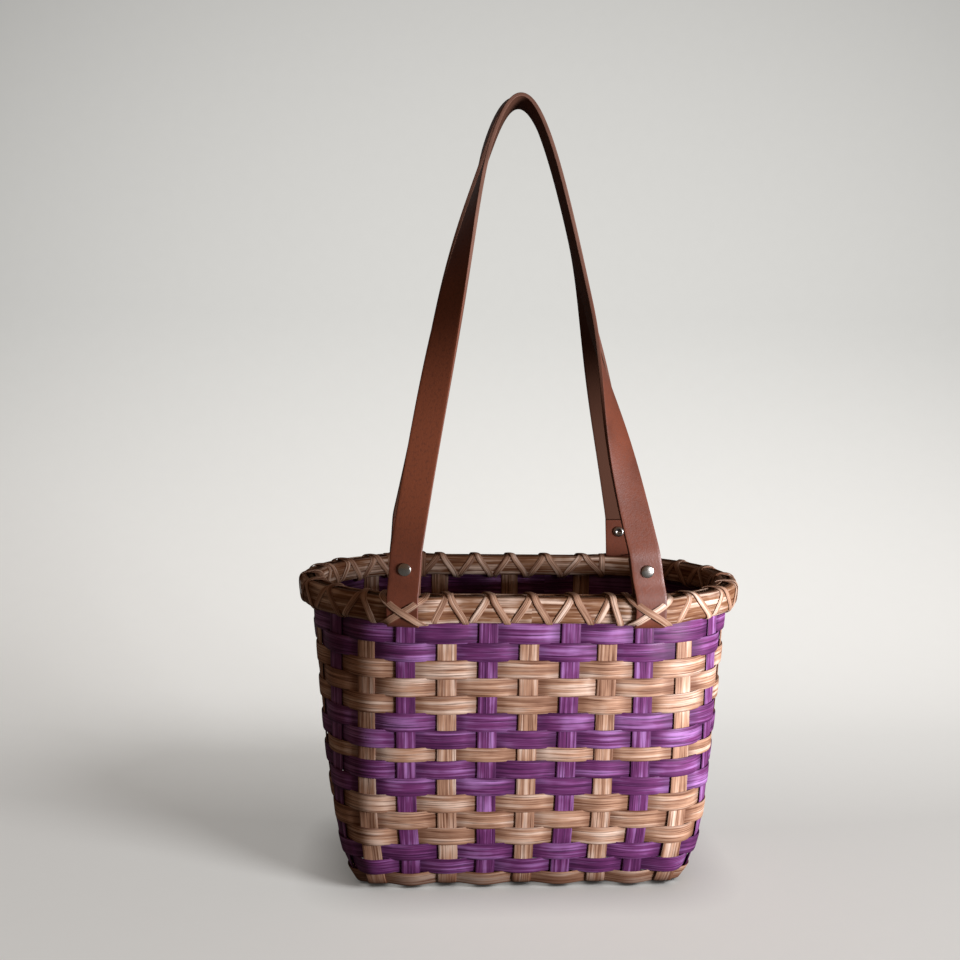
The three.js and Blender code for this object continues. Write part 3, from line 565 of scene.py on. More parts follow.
def leather_material(node, body, worn, cut, flesh):
    """Bridle leather: a waxed, fine-grained face with a soft sheen, a paler cut edge and a dull back.

    Part of the left leg's face is painted a lighter tan, as painted light. The grain's pebbles are about
    0.4 mm on the real hide; they are drawn about 0.9 mm wide to show.
    """
    uv = node("TexCoord", out="UV")
    pebbles = node("TexVoronoi", {"Vector": uv, "Scale": 1100.0, "Randomness": 1.0}, "Distance",
                   feature="SMOOTH_F1")
    creases = node("TexNoise", {"Vector": uv, "Scale": 420.0, "Detail": 4.0, "Roughness": 0.62}, "Fac")
    cloud = node("TexNoise", {"Vector": uv, "Scale": 38.0, "Detail": 3.0}, "Fac")
    dark = toned(body, 0.72)
    shade = node("ValToRGB", {"Fac": cloud}, stops=((0.3, dark), (0.5, body), (0.75, toned(body, 1.25))))
    # Painted light: one attribute lightens part of the left leg's face towards the lighter colour
    handled, back, edge = (node("Attribute", out="Fac", attribute_name=key)
                           for key in ("handled", "flesh", "edge"))
    grained = node("MapRange", {"Value": creases, "From Min": 0.5, "From Max": 0.3, "To Max": 0.6})
    layers = drawn_out(node, uv, (60, 2400))
    layered = node("ValToRGB", {"Fac": layers}, stops=((0.35, toned(cut, 0.6)), (0.6, cut)))
    for share, over in ((handled, worn), (grained, dark), (back, flesh), (edge, layered)):
        shade = node("Mix", {"Factor": share, "A": shade, "B": over}, 2, data_type="RGBA")
    dull = node("Math", {0: back, 1: edge}, operation="MAXIMUM")
    sheen = node("MapRange", {"Value": creases, "From Min": 0.3, "From Max": 0.7,
                              "To Min": 0.5, "To Max": 0.34})
    rough = node("Mix", {"Factor": dull, "A": sheen, "B": 0.72}, data_type="FLOAT")
    shine = node("Mix", {"Factor": dull, "A": 0.5, "B": 0.12}, data_type="FLOAT")
    grain = node("Mix", {"Factor": 0.5, "A": pebbles, "B": creases}, data_type="FLOAT")
    bump = node("Bump", {"Strength": 0.55, "Distance": 0.00022, "Height": grain})
    return {"Base Color": shade, "Roughness": rough, "Specular IOR Level": shine,
            "Normal": bump, "IOR": 1.5}


def nickel_material(node, body):
    """Nickel-plated steel: bright metal, slightly clouded, with a few dull specks."""
    place = node("TexCoord", out="Object")
    specks = node("TexNoise", {"Vector": place, "Scale": 900.0, "Detail": 3.0}, "Fac")
    shade = node("ValToRGB", {"Fac": specks}, stops=((0.35, toned(body, 0.85)), (0.55, body)))
    rough = node("MapRange", {"Value": specks, "From Min": 0.3, "From Max": 0.7,
                              "To Min": 0.3, "To Max": 0.22})
    return {"Base Color": shade, "Roughness": rough, "Metallic": 1.0}


def paper_material(node, shade):
    """Matt paper sweep with its own glow, so that it stays pale without lighting the basket.

    The glow is brightest behind the basket's right side and falls with the square of the distance from
    there; it dims close to the basket. Only the camera sees the pale paper and mirror rays a dimmer one:
    other rays meet a dark one, which throws little light back. The floor is lit more than the backdrop.
    """
    place = node("TexCoord", out="Object")
    away = node("VectorMath", {0: place, 1: (0.1, 0.75, 0.36)}, operation="SUBTRACT")
    away = node("VectorMath", {0: away, 1: (1.0, 1.5, 1.35)}, operation="MULTIPLY")
    square = node("VectorMath", {0: away, 1: away}, "Value", operation="DOT_PRODUCT")
    glow = node("MapRange", {"Value": square, "From Max": 1.36, "To Min": 0.82, "To Max": 0.36})
    shelter = node("AmbientOcclusion", {"Distance": 0.045}, "AO", samples=8)
    fibre = node("TexNoise", {"Vector": place, "Scale": 60.0, "Detail": 4.0}, "Fac")
    grain = node("MapRange", {"Value": fibre, "To Min": 0.985, "To Max": 1.015})
    strength = node("Math", {0: glow, 1: shelter}, operation="MULTIPLY")
    strength = node("Math", {0: strength, 1: grain}, operation="MULTIPLY")
    own = node("Emission", {"Color": shade, "Strength": strength})
    level = node("SeparateXYZ", {0: node("NewGeometry", out="Normal")}, "Z")
    lit = node("Mix", {"Factor": level, "A": (0.08, 0.08, 0.078, 1), "B": (0.54, 0.538, 0.53, 1)}, 2,
               data_type="RGBA")
    seen = node("AddShader", {0: own, 1: node("BsdfDiffuse", {"Color": lit})})
    dark = node("BsdfDiffuse", {"Color": (0.1, 0.1, 0.098, 1)})
    mirror = node("Math", {0: node("LightPath", out="Is Glossy Ray"), 1: 0.08}, operation="MULTIPLY")
    pale = node("Math", {0: node("LightPath", out="Is Camera Ray"), 1: mirror}, operation="MAXIMUM")
    return {"Surface": node("MixShader", {0: pale, 1: dark, 2: seen})}


# For each material: its function, its colours, and a reed's roughness, shine and streak width
MATERIALS = {
    "Natural split reed": (reed_material, ("natural", "natural_light", "natural_grain"), (0.52, 0.25)),
    "Dyed split reed": (reed_material, ("dyed", "dyed_light", "dyed_grain"), (0.42, 0.25)),
    "Half-round rim reed": (reed_material, ("rim", "natural_light", "natural_grain"), (0.55, 0.15, 0.0016)),
    "Lashing reed": (reed_material, ("lashing", "natural_light", "natural_grain"), (0.55, 0.15, 0.0008)),
    "Seagrass cord": (seagrass_material, ("cord",), ()),
    "Bridle leather": (leather_material, ("leather", "leather_worn", "leather_edge", "leather_back"), ()),
    "Nickel-plated steel": (nickel_material, ("nickel",), ()),
    "Paper sweep": (paper_material, ("floor",), ()),
}


def material_named(name):
    """The tote's material of this name, made on first use from the scene's colours."""
    material = bpy.data.materials.get(name)
    if material:
        return material
    maker, shades, finish = MATERIALS[name]
    shades = [tuple(getattr(bpy.context.scene.tote_colours, shade)) for shade in shades]
    material = bpy.data.materials.new(name)
    material.use_nodes = True
    tree = material.node_tree
    inputs = maker(partial(add, tree), *shades, *finish)
    shader = tree.nodes["Principled BSDF"]
    if "Surface" in inputs:
        tree.nodes.remove(shader)
        shader = tree.nodes["Material Output"]
    connect(tree, shader, inputs)
    return material


# Pieces

def settle(piece, node):
    """Puts a piece in the place of a node of the basket's body."""
    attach(piece, "basket")
    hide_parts(node)


def reed_finish(dyed):
    """Material and slot of a stake or a row."""
    name, slot = ("Dyed split reed", "dyed_reed") if dyed else ("Natural split reed", "natural_reed")
    return material_named(name), slot


class TOTE_OT_stakes(bpy.types.Operator):
    """Stakes: flat reed across the base and up both walls"""
    bl_idname = "tote.stakes"
    bl_label = "Stakes"

    def execute(self, context):
        reed = context.scene.tote_reed
        strip = flat_profile(reed.stake_width, reed.stake_thick, crown=0.3)
        for i in range(-CROSS_SPAN, CROSS_SPAN + 1):
            self.one(f"cross_stake_{i + CROSS_SPAN + 1}", i, STAKES / 2 - i, (1.0, 0.0, 0.0), strip)
        for j in range(-LONG_SPAN, LONG_SPAN + 1):
            self.one(f"long_stake_{j + LONG_SPAN + 1}", STAKES - QUARTER_TURN - j, QUARTER_TURN + j,
                     (0.0, 1.0, 0.0), strip, j)
        return {"FINISHED"}

    def one(self, name, near, far, base_side, strip, j=None):
        """One stake: down the near wall, along the base and up the far wall, with the bends eased.

        In the base a long stake waves over and under the cross stakes: its height follows a flattened
        cosine of the cross stakes' places.
        """
        climb = np.linspace(0, WALL_TOP + STAKE_END, 160)
        p1, w1 = wall(near, climb[::-1])[:2]
        p2, w2 = wall(far, climb)[:2]
        base = p1[-1] + (p2[0] - p1[-1]) * np.linspace(0, 1, 240)[1:-1, None]
        if j is not None:
            crosses = np.arange(-CROSS_SPAN, CROSS_SPAN + 1)
            xs = wall(crosses, 0.0)[0][:, 0]
            place = np.interp(base[:, 0], xs, crosses)
            wave = np.tanh(BASE_WAVE_SQUARE * np.cos(np.pi * (place + j))) / np.tanh(BASE_WAVE_SQUARE)
            ends = smooth((xs[-1] + BASE_WAVE_END - np.abs(base[:, 0])) / BASE_WAVE_FADE)
            base[:, 2] = BASE_LEVEL - BASE_LAYER * wave * ends
        side = np.sign(np.dot(w1[-1], base_side)) * np.array(base_side)
        sides = np.concatenate([w1, np.broadcast_to(side, base.shape), -w2])
        path, sides, normal, _ = strip_frame(np.concatenate([p1, base, p2]), sides, spacing=0.002)
        profile, across, edge = strip
        material, slot = reed_finish(int(near) % 2)
        piece = grid_piece(name + "_reed", sweep(path, sides, normal, profile), False, across,
                           {"edge": edge}, material, 0.37 * (near + 3))
        settle(piece, name)


class TOTE_OT_rows(bpy.types.Operator):
    """Rows: flat reed woven in front of one stake and behind the next"""
    bl_idname = "tote.rows"
    bl_label = "Woven rows"

    def execute(self, context):
        reed = context.scene.tote_reed
        for r, mark in enumerate(ROW_PATTERN):
            width = reed.thin_row_width if mark == "t" else reed.row_width
            middle = (ROW_EDGES[r] + ROW_EDGES[r + 1]) / 2
            rise = reed.top_row_rise if r == len(ROW_PATTERN) - 1 else 0
            self.row(f"weaver_row_{r + 1:02d}", r, middle + rise / 2, width + rise, mark == "p", reed,
                     reed.row_lift)
        low, high = WALL_TOP + reed.top_row_rise - ROW_LAP, WALL_TOP + LASH_GAP + reed.row_width
        self.row("rim_row", len(ROW_PATTERN), (low + high) / 2, high - low, False, reed, reed.rim_row_lift)
        return {"FINISHED"}

    def row(self, name, r, middle, width, dyed, reed, lift):
        """One row: a closed wave round the wall.

        Its distance from the wall's middle is lift * cos(pi k) / cos(pi e), with e the edge of a stake,
        and odd rows take the other side of every stake. Its ends meet behind a stake at the rear.
        """
        per_stake = 14
        count = STAKES * per_stake
        k = STAKES / 2 - r % 2 + np.arange(count) * STAKES / count
        v = middle + ROW_UNEVEN * waviness(count, 20, 100 + r)
        low, _, _, n_low = wall(k, v - width / 2)
        high, _, _, n_high = wall(k, v + width / 2)
        centre = (low + high) / 2
        up = unit(high - low)
        widen = np.linalg.norm(high - low, axis=-1, keepdims=True) / width
        out = unit(n_low + n_high)
        pitch = np.linalg.norm(wall(k + 0.5, v)[0] - wall(k - 0.5, v)[0], axis=-1)
        side = -1.0 if r % 2 == 0 else 1.0
        swing = np.cos(np.pi * k) / np.cos(np.pi * reed.stake_width / 2 / pitch)
        path = centre + out * (side * lift * swing)[:, None]
        along = directions(path, True)
        up = squared(up, along)
        normal = np.cross(along, up)
        profile, across, edge = flat_profile(width, reed.row_thick, crown=0.25)
        material, slot = reed_finish(dyed)
        # Painted shade where the row dips behind a stake, none where it passes over one
        sunk = smooth((0.35 - side * np.cos(np.pi * k)) / 1.1)[:, None]
        piece = grid_piece(name + "_reed", sweep(path, up * np.maximum(widen, 1), normal, profile), True,
                           across, {"edge": edge, "sunk": sunk}, material, 0.61 * r + 0.2)
        settle(piece, name)


def hoop_outline(rim, count=25):
    """Half-round hoop section as (out, up): half a superellipse, closed by a flat side.

    out = thick * the boxed sine and up = height / 2 * (1 - the boxed cosine), for angles from 0 to pi.
    """
    f = np.linspace(0, np.pi, count)
    out = rim.thick * np.abs(boxed(np.sin(f), HOOP_POWER))
    up = rim.height / 2 * (1 - boxed(np.cos(f), HOOP_POWER))
    flat = np.linspace(1, 0, 6)[1:-1]
    return np.concatenate([out, 0 * flat]), np.concatenate([up, rim.height * flat])


class TOTE_OT_rims(bpy.types.Operator):
    """Rims: two half-round hoops with a cord between them"""
    bl_idname = "tote.rims"
    bl_label = "Rims"

    def execute(self, context):
        rim = context.scene.tote_rim
        out, up = hoop_outline(rim)
        per_stake = 16
        k = np.arange(STAKES * per_stake)[:, None] / per_stake
        hoops = {
            "outer_rim": outer_rim_point(k, RIM_FACE + out, LASH_GAP + up),
            "inner_rim": rim_point(k, -WALL_LAYER - out,
                                   LASH_GAP + up + rim.inner_lift * (1 - up / rim.height)),
        }
        across = running(np.stack([out, up], -1), True)
        material = material_named("Half-round rim reed")
        for number, (name, grid) in enumerate(hoops.items()):
            piece = grid_piece(name + "_reed", grid, True, across, {"edge": np.zeros(len(out))},
                               material, 1.7 + number)
            settle(piece, name)
        self.filler(rim)
        return {"FINISHED"}

    def filler(self, rim):
        """Two-ply cord: its radius at angle q is R (0.78 + 0.22 |cos(q - turn)|), turning along it."""
        per_stake, around, twists = 40, 14, 3
        k = np.arange(STAKES * per_stake)[:, None] / per_stake
        q = np.linspace(0, 2 * np.pi, around, endpoint=False)
        turn = 2 * np.pi * k * twists
        r = rim.filler_radius * (0.78 + 0.22 * np.abs(np.cos(q - turn)))
        grid = rim_point(k, r * np.cos(q), FILLER_UP + r * np.sin(q))
        across = np.linspace(0, 2 * np.pi, around + 1) * rim.filler_radius
        piece = grid_piece("rim_filler_cord", grid, True, across, {"edge": np.zeros(around)},
                           material_named("Seagrass cord"))
        settle(piece, "rim_filler")


class TOTE_OT_lashing(bpy.types.Operator):
    """Lashing: two reeds wound round the rims in opposite directions"""
    bl_idname = "tote.lashing"
    bl_label = "Rim lashing"

    def execute(self, context):
        rim = context.scene.tote_rim
        strap = context.scene.tote_strap
        self.lasher("rim_lashing_under", 1, rim, strap)
        self.lasher("rim_lashing_over", -1, rim, strap)
        return {"FINISHED"}

    def section(self, rim):
        """Outline round both hoops, evenly along itself, from the middle of the bottom outwards.

        A superellipse whose bottom rises inwards to the inner hoop; returns (out, up), the
        outward direction of each point and its height as a share of the outline's height there.
        """
        outer = RIM_FACE + rim.thick
        inner = WALL_LAYER + rim.thick
        f = np.linspace(-np.pi / 2, 3 * np.pi / 2, 2001)
        a = (outer - inner) / 2 + (outer + inner) / 2 * boxed(np.cos(f), LASH_POWER)
        b = rim.height / 2 + rim.height / 2 * boxed(np.sin(f), LASH_POWER)
        points = even(np.stack([a, b], -1), spacing=0.0014)[0][:-1]
        share = points[:, 1] / rim.height
        points[:, 1] += rim.inner_lift * (1 - share) * smooth((outer - points[:, 0]) / (outer + inner))
        along = np.roll(points, -1, 0) - np.roll(points, 1, 0)
        facing = unit(np.stack([along[:, 1], -along[:, 0]], -1))
        return points, facing, share

    def lasher(self, name, direction, rim, strap):
        """One lasher: a loop for every stake.

        On the outside it slants from the gap between two stakes at the bottom to the stake at the top,
        on the inside from the stake on to the next gap. Over leather it slants across the whole strap
        and runs straight down inside. It stands off by the leather's thickness there, and the second
        lasher rises over the first where they cross.
        """
        outline, facing, up = self.section(rim)
        out, high = outline.T
        outside = out > np.median(out)
        step = rim.lash_step / TOP_PITCH
        by = (strap.width / 2 + rim.beside_strap) / TOP_PITCH
        stakes = STAKES / 2 + 0.5 + direction * (np.arange(STAKES) + 0.5)
        near = lambda k: np.any([np.abs(turns_from(k, s)) < 0.01 for s in STRAP_STAKES], axis=0)
        strapped = near(stakes)[:, None]
        after = near(stakes - direction)[:, None]
        before = near(stakes + direction)[:, None]
        start = np.where(after, -0.5 + LASH_AFTER_STRAP / TOP_PITCH, -0.5 + step)
        end = np.where(before, 1 - by, 0.5 - step)
        slant = lambda begin, span: np.clip((up - begin) / span, 0, 1)
        rise = slant(*LASH_SLANT)
        outer_place = start + (-step - start) * rise
        inner_place = end + (step - end) * rise
        cross = smooth(((out.max() - out) / np.ptp(out) - 0.15) / 0.7)
        place = np.where(up > 0.5, outer_place * (1 - cross) + inner_place * cross,
                         np.where(outside, outer_place, inner_place))
        diagonal = -by + 2 * by * slant(*LASH_SLANT_STRAP)
        place = np.where(strapped, np.where(outside, diagonal, by), place)
        k = stakes[:, None] + direction * place
        off = np.abs(place) * TOP_PITCH - strap.width / 2
        over_leather = strapped & outside
        on_strap = 1 - smooth((off + 0.002) / 0.006)
        stand = np.where(over_leather, (strap.thick + LASH_CLEAR_STRAP) * on_strap, 0.0)
        lift = rim.lash_thick / 2 + LASH_CLEAR
        if direction < 0:
            crossing = smooth((np.abs(up - 0.5) - 0.3) / 0.16)
            middle = np.where(over_leather, 1 - smooth((np.abs(place) * TOP_PITCH - 0.003) / 0.004), 0.0)
            lift = lift + (rim.lash_thick + LASH_CLEAR_LASH) * np.maximum(crossing, middle)
        a, b = out + facing[:, 0] * (lift + stand), high + facing[:, 1] * (lift + stand)
        grid = np.where(out[:, None] > 0, outer_rim_point(k, a, LASH_GAP + b), rim_point(k, a, LASH_GAP + b))
        _, _, t, n = wall(k, WALL_TOP)
        normal = (n * facing[:, :1] + t * facing[:, 1:]).reshape(-1, 3)
        path, at = even(grid.reshape(-1, 3), spacing=0.0012)
        normal = unit(between(at, np.arange(len(normal)), normal))
        path = eased(path, 2)
        along = directions(path, False)
        side = unit(np.cross(normal, along))
        normal = np.cross(along, side)
        profile, across, edge = flat_profile(rim.lash_width, rim.lash_thick, crown=0.3)
        piece = grid_piece(name + "_reed", sweep(path, side, normal, profile), False, across,
                           {"edge": edge}, material_named("Lashing reed"), 2.3 + 0.4 * direction)
        settle(piece, name)


# Straps

def strap_end_point(k, a, b):
    """Rim point of a strap end; above the rim it moves towards the middle of its side by its splay."""
    p, w, _, _ = wall(k, WALL_TOP)
    inward = -np.sign(p[0]) * np.sign(w[0])
    return rim_point(k, a, b) + w * (inward * SPLAYS[k] * np.maximum(b - RIM_TOP, 0))[..., None]


def strap_end_path(thick):
    """Side view of a strap end as (out, up): from the tail down behind the rim, under it and up in front."""
    turn = np.linspace(np.pi, 2 * np.pi, 13)
    middle = (BACK_LINE + FRONT_LINE) / 2
    half = (FRONT_LINE - BACK_LINE) / 2
    under = np.stack([middle + half * np.cos(turn),
                      TURN_UP + (TURN_UP - LASH_GAP + CLEAR + thick / 2) * np.sin(turn)], -1)
    points = np.concatenate([
        [[JOIN_BACK, TAIL_UP], [JOIN_BACK, CAP_UP], [JOIN_BACK, NECK_UP], [BACK_LINE, SHOULDER_UP],
         [BACK_LINE, STRAIGHT_UP]],
        under,
        [[FRONT_LINE, STRAIGHT_UP], [FRONT_LINE, SHOULDER_UP], [JOIN_FRONT, NECK_UP],
         [JOIN_FRONT, CAP_UP], [JOIN_FRONT, BEND_UP]]])
    return eased(even(points, spacing=0.0008)[0], 2)


class TOTE_OT_straps(bpy.types.Operator):
    """Straps: one leather strip each, round the rim at both ends"""
    bl_idname = "tote.straps"
    bl_label = "Leather straps"

    def execute(self, context):
        strap = context.scene.tote_strap
        self.one("front", ENDS["front_left"], ENDS["front_right"], -1.0, strap)
        self.one("rear", ENDS["rear_left"], ENDS["rear_right"], 1.0, strap)
        return {"FINISHED"}

    def one(self, side_name, left_k, right_k, out_y, strap):
        """One strap: an end, a leg, the arch, the other leg and the other end.

        With p from -1 to 1, a leg's height falls by p^2 of its drop, and its distance from the arch's
        middle is p L sqrt(c0 + c1 p^2 + c2 p^4), so the arch is round and the legs are slightly bowed.
        The turn of the strap end fades out above the foot, and a quarter turn comes in below the arch.
        """
        foot = {k: strap_end_point(k, JOIN_FRONT, BEND_UP) for k in (left_k, right_k)}
        arch = ARCHES[side_name]
        apex = np.array([0, out_y * (strap.width / 2 + APEX_GAP / 2), arch["up"]])
        fall = unit(((foot[left_k] + foot[right_k]) / 2 - apex) * np.array([0, 1, 1]))
        out = np.array([0, -out_y * fall[2], out_y * fall[1]])
        p = np.linspace(-1, 1, 1601)
        end = np.where((p < 0)[:, None], foot[left_k], foot[right_k])
        drop = (end - apex) * np.array([0, 1, 1])
        fall_length = np.linalg.norm(drop, axis=-1)
        u = p * p
        sag = np.where(p < 0, *arch["sag"])
        c0 = 2 * arch["radius"] / fall_length
        c1 = (end[:, 0] / fall_length) ** 2 - c0 - sag
        x = p * fall_length * np.sqrt(c0 + c1 * u + sag * u * u) + arch["side"] * (1 - u)
        body = apex + x[:, None] * np.array([1, 0, 0]) + drop * u[:, None]
        along = directions(body, False)
        side = unit(np.cross(along, out) * out_y)
        across_left, across_right = (wall(k, WALL_TOP)[1] for k in (left_k, right_k))
        start = np.where(p < 0, np.arccos(abs(across_left[0])), np.arccos(abs(across_right[0])))
        turn_from, turn_to = np.where(p < 0, *arch["twist_from"]), np.where(p < 0, *arch["twist_to"])
        twist = (start * (1 - smooth((1 - np.abs(p)) / FOOT_SHARE))
                 + np.pi / 2 * smooth((turn_from - np.abs(p)) / (turn_from - turn_to)))
        face = out * np.cos(twist)[:, None] + side * np.sin(twist)[:, None]
        loop = strap_end_path(strap.thick)
        first = strap_end_point(left_k, loop[:, 0], loop[:, 1])[:-1]
        last = strap_end_point(right_k, loop[::-1, 0], loop[::-1, 1])[1:]
        sides = np.concatenate([np.broadcast_to(across_left, first.shape), unit(np.cross(along, face)),
                                np.broadcast_to(across_right, last.shape)])
        flips = np.sign(np.sum(sides[1:] * sides[:-1], -1))
        sides = sides * np.concatenate([[1], np.cumprod(flips)])[:, None]
        path, sides, normal, share = strip_frame(np.concatenate([first, body, last]), sides,
                                                spacing=0.0016, ease=4)
        if normal[np.argmin(np.abs(share - 0.5)), 2] < 0:
            normal, sides = -normal, -sides
        profile, across, cut, flesh = self.section(strap)
        # The cut edge is palest round the arch; part of the left leg's face is painted lighter, as painted
        # light
        pale = 0.25 + 0.75 * smooth((0.19 - np.abs(share - 0.5)) / 0.08)
        handled = smooth((share - 0.10) / 0.07) * smooth((0.42 - share) / 0.16)
        piece = grid_piece(side_name + "_strap_leather", sweep(path, sides, normal, profile), False, across,
                           {"edge": cut * pale[:, None], "flesh": flesh, "handled": handled[:, None]},
                           material_named("Bridle leather"), 0.5 + out_y)
        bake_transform(piece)
        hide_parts(side_name + "_strap", side_name + "_left_strap_end",
                    side_name + "_right_strap_end")

    def section(self, strap):
        """Section of the leather: flat faces with their corners taken off, the finished one first.

        Returns its points, the metres round it, its cut edges and its flesh side.
        """
        s = np.array([-1, -0.996, -0.98, -0.95, -0.8, -0.5, -0.17, 0.17, 0.5, 0.8, 0.95, 0.98, 0.996, 1])
        h = np.array([0.62, 0.82, 0.94, 1, 1, 1, 1, 1, 1, 1, 1, 0.94, 0.82, 0.62])
        around = np.concatenate([s, s[::-1]])
        profile = np.stack([around * strap.width / 2, np.concatenate([h, -h]) * strap.thick / 2], -1)
        return profile, running(profile, True), 1.0 * (np.abs(around) > 0.99), np.repeat([0.0, 1.0], len(s))


class TOTE_OT_posts(bpy.types.Operator):
    """Screw posts: a domed cap outside and a screw head inside at each strap end"""
    bl_idname = "tote.posts"
    bl_label = "Screw posts"

    def execute(self, context):
        strap = context.scene.tote_strap
        grip = JOIN_FRONT - JOIN_BACK + strap.thick
        seat = grip / 2 + 0.0001
        centre, chamfer, lip = 0.0003, 0.0002, 0.0003
        barrel, cap, head = strap.barrel_radius, strap.cap_radius, strap.head_radius
        tall, recess = strap.head_thick, strap.recess_radius
        bow = np.linspace(0, np.pi / 2, 9)
        dome_r = np.concatenate([cap * np.cos(bow[:-1]), [centre]])
        dome_y = seat + strap.cap_thick * (0.35 + 0.65 * np.sin(bow))
        post_r = np.concatenate([[centre, barrel, barrel, cap - lip, cap], dome_r])
        foot = 0.0004 - grip / 2
        post_y = np.concatenate([[foot, foot, seat, seat, seat + lip], dome_y])
        shank, bottom = barrel - 0.0009, tall - 0.0008
        screw_r = np.array([centre, recess - chamfer, recess, recess, recess + chamfer, head * 0.72,
                            head * 0.92, head, head, head - chamfer, shank, shank, centre])
        screw_y = -seat - np.array([bottom, bottom, tall - 0.0006, tall - 0.0001, tall, tall,
                                    tall * 0.85, tall * 0.5, chamfer, 0.0, 0.0, -lip, -lip])
        for name, k in ENDS.items():
            self.turned(name + "_post", k, post_r, post_y)
            self.turned(name + "_screw", k, screw_r, screw_y)
        return {"FINISHED"}

    def turned(self, name, k, radius, height):
        """Turned piece: its outline (radius, height) carried round the post's axis, which points outwards."""
        _, w, t, n = wall(k, WALL_TOP)
        origin = strap_end_point(k, (JOIN_BACK + JOIN_FRONT) / 2, POST_UP)
        around = 48
        q = np.linspace(0, 2 * np.pi, around, endpoint=False)[None, :, None]
        grid = (origin + (w * np.cos(q) + t * np.sin(q)) * radius[:, None, None]
                + n * height[:, None, None])
        across = np.linspace(0, 2 * np.pi, around + 1) * float(radius.max())
        piece = grid_piece(name + "_nickel", grid, False, across, {}, material_named("Nickel-plated steel"))
        settle(piece, name)


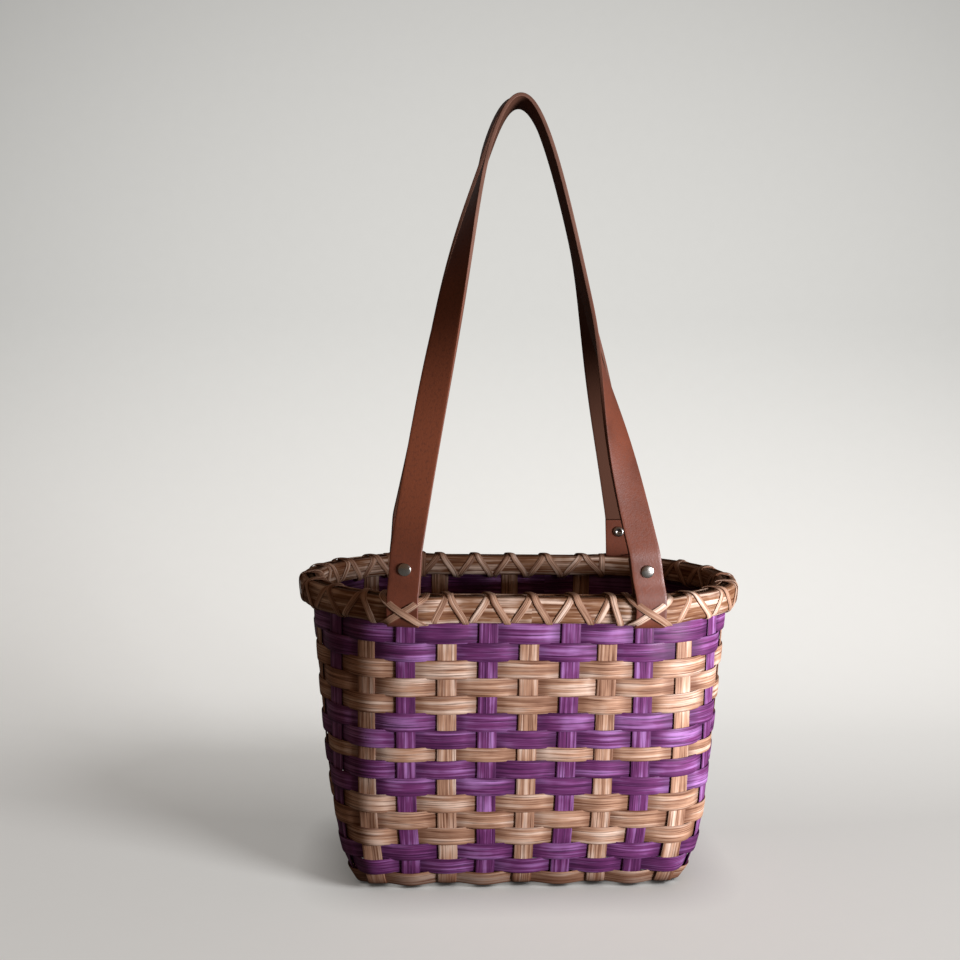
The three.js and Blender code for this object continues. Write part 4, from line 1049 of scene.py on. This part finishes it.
class TOTE_OT_stage(bpy.types.Operator):
    """Stage: paper sweep, lamps, surround and camera"""
    bl_idname = "tote.stage"
    bl_label = "Stage"

    def execute(self, context):
        self.sweep()
        self.lights(context)
        self.camera(context)
        context.scene.view_settings.view_transform = "Standard"
        return {"FINISHED"}

    def sweep(self):
        """Floor that curves up into a backdrop: a quarter circle joins the flat and the upright."""
        turn = np.linspace(0, np.pi / 2, 25)[1:]
        radius, back, high = 0.45, 0.75, 3.5
        y = np.concatenate([[-3.0, -1.0, 0.0, back - radius], back - radius + radius * np.sin(turn), [back]])
        z = np.concatenate([[0.0, 0.0, 0.0, 0.0], radius - radius * np.cos(turn), [high]])
        x = np.linspace(-4.0, 4.0, 17)
        grid = np.stack(np.broadcast_arrays(x[None], y[:, None], z[:, None]), -1).reshape(-1, 3)
        faces = cells(np.arange(len(grid)).reshape(len(y), len(x)).T)
        mesh = bpy.data.meshes.new("paper_sweep")
        mesh.from_pydata(grid.tolist(), [], faces.tolist())
        mesh.polygons.foreach_set("use_smooth", np.ones(len(faces), bool))
        mesh.materials.append(material_named("Paper sweep"))
        piece = bpy.data.objects.new("paper_sweep", mesh)
        bpy.context.scene.collection.objects.link(piece)

    def lights(self, context):
        """A low soft key at the right for the basket, a lamp for the paper, and a dim even surround.

        Each lamp stands at a turn from the front and a rise, at a distance from a point in the basket.
        """
        def lamp(name, turn, rise, distance, wide, high, power):
            aim = np.array([np.sin(turn) * np.cos(rise), -np.cos(turn) * np.cos(rise), np.sin(rise)])
            place = Vector((aim * distance).tolist()) + Vector((0.0, 0.0, 0.2))
            data = bpy.data.lights.new(name, "AREA")
            data.shape, data.size, data.size_y, data.energy = "ELLIPSE", wide, high, power
            made = bpy.data.objects.new(name, data)
            turned = Vector((-aim).tolist()).to_track_quat("-Z", "Y")
            made.matrix_world = Matrix.Translation(place) @ turned.to_matrix().to_4x4()
            context.scene.collection.objects.link(made)
            return made

        key = lamp("Key", np.radians(49), np.radians(2.8), 0.72, 0.30, 0.15, 7.9)
        key.data.color = linear("#f8f8ff")[:3]
        paper_lamp = lamp("Paper lamp", np.radians(50), np.radians(35), 2.7, 0.95, 0.95, 55.0)
        for source, state in ((paper_lamp, "INCLUDE"), (key, "EXCLUDE")):
            receivers = bpy.data.collections.new(source.name + " receivers")
            receivers.objects.link(bpy.data.objects["paper_sweep"])
            receivers.collection_objects[0].light_linking.link_state = state
            source.light_linking.receiver_collection = receivers
        world = bpy.data.worlds.new("Studio surround")
        world.use_nodes = True
        background = world.node_tree.nodes["Background"]
        background.inputs["Color"].default_value = linear("#ffcca8")
        background.inputs["Strength"].default_value = 0.12
        context.scene.world = world

    def camera(self, context):
        """Camera at the photograph's viewing angle: yaw, pitch and roll set its three axes."""
        yaw, pitch, roll = 0.0645, 0.1062, 0.0176
        focal_pixels, image_pixels = 1209.204, 960.0
        forward = np.array([np.sin(yaw) * np.cos(pitch), np.cos(yaw) * np.cos(pitch), -np.sin(pitch)])
        right = np.array([np.cos(yaw), -np.sin(yaw), 0.0])
        up = np.cross(right, forward)
        x = np.cos(roll) * right + np.sin(roll) * up
        y = -np.sin(roll) * right + np.cos(roll) * up
        data = bpy.data.cameras.new("Camera")
        data.sensor_fit = "HORIZONTAL"
        data.sensor_width = 36.0
        data.lens = focal_pixels * data.sensor_width / image_pixels
        data.clip_end = 20.0
        camera = bpy.data.objects.new("Camera", data)
        pose = np.eye(4)
        pose[:3, 0], pose[:3, 1], pose[:3, 2] = x, y, -forward
        pose[:3, 3] = (-0.0918855, -0.92497, 0.399402)
        camera.matrix_world = Matrix(pose.tolist())
        context.scene.collection.objects.link(camera)
        context.scene.camera = camera


class TOTE_PT_panel(bpy.types.Panel):
    """Lists the tote's sizes, colours and pieces"""
    bl_idname = "TOTE_PT_panel"
    bl_label = "Woven tote basket"
    bl_space_type = "VIEW_3D"
    bl_region_type = "UI"
    bl_category = "Tote"

    def draw(self, context):
        for group in GROUPS:
            sizes = getattr(context.scene, group)
            for key in sizes.__annotations__:
                self.layout.prop(sizes, key)
        for operator in OPERATORS:
            self.layout.operator(operator.bl_idname)


GROUPS = {"tote_reed": ReedSizes, "tote_rim": RimSizes, "tote_strap": StrapSizes, "tote_colours": ToteColours}
OPERATORS = (TOTE_OT_stage, TOTE_OT_stakes, TOTE_OT_rows, TOTE_OT_rims, TOTE_OT_lashing, TOTE_OT_straps,
             TOTE_OT_posts)
CLASSES = (*GROUPS.values(), *OPERATORS, TOTE_PT_panel)


def register():
    """Registers the sizes, the operators and the panel."""
    for each in CLASSES:
        bpy.utils.register_class(each)
    for name, group in GROUPS.items():
        setattr(bpy.types.Scene, name, bpy.props.PointerProperty(type=group))


def unregister():
    """Removes what register added."""
    for name in GROUPS:
        delattr(bpy.types.Scene, name)
    for each in reversed(CLASSES):
        bpy.utils.unregister_class(each)


def main():
    """Builds the basket and its stage."""
    register()
    bpy.ops.tote.stage()
    bpy.ops.tote.stakes()
    bpy.ops.tote.rows()
    bpy.ops.tote.rims()
    bpy.ops.tote.lashing()
    bpy.ops.tote.straps()
    bpy.ops.tote.posts()
    bpy.context.view_layer.update()


if __name__ == "__main__":
    main()
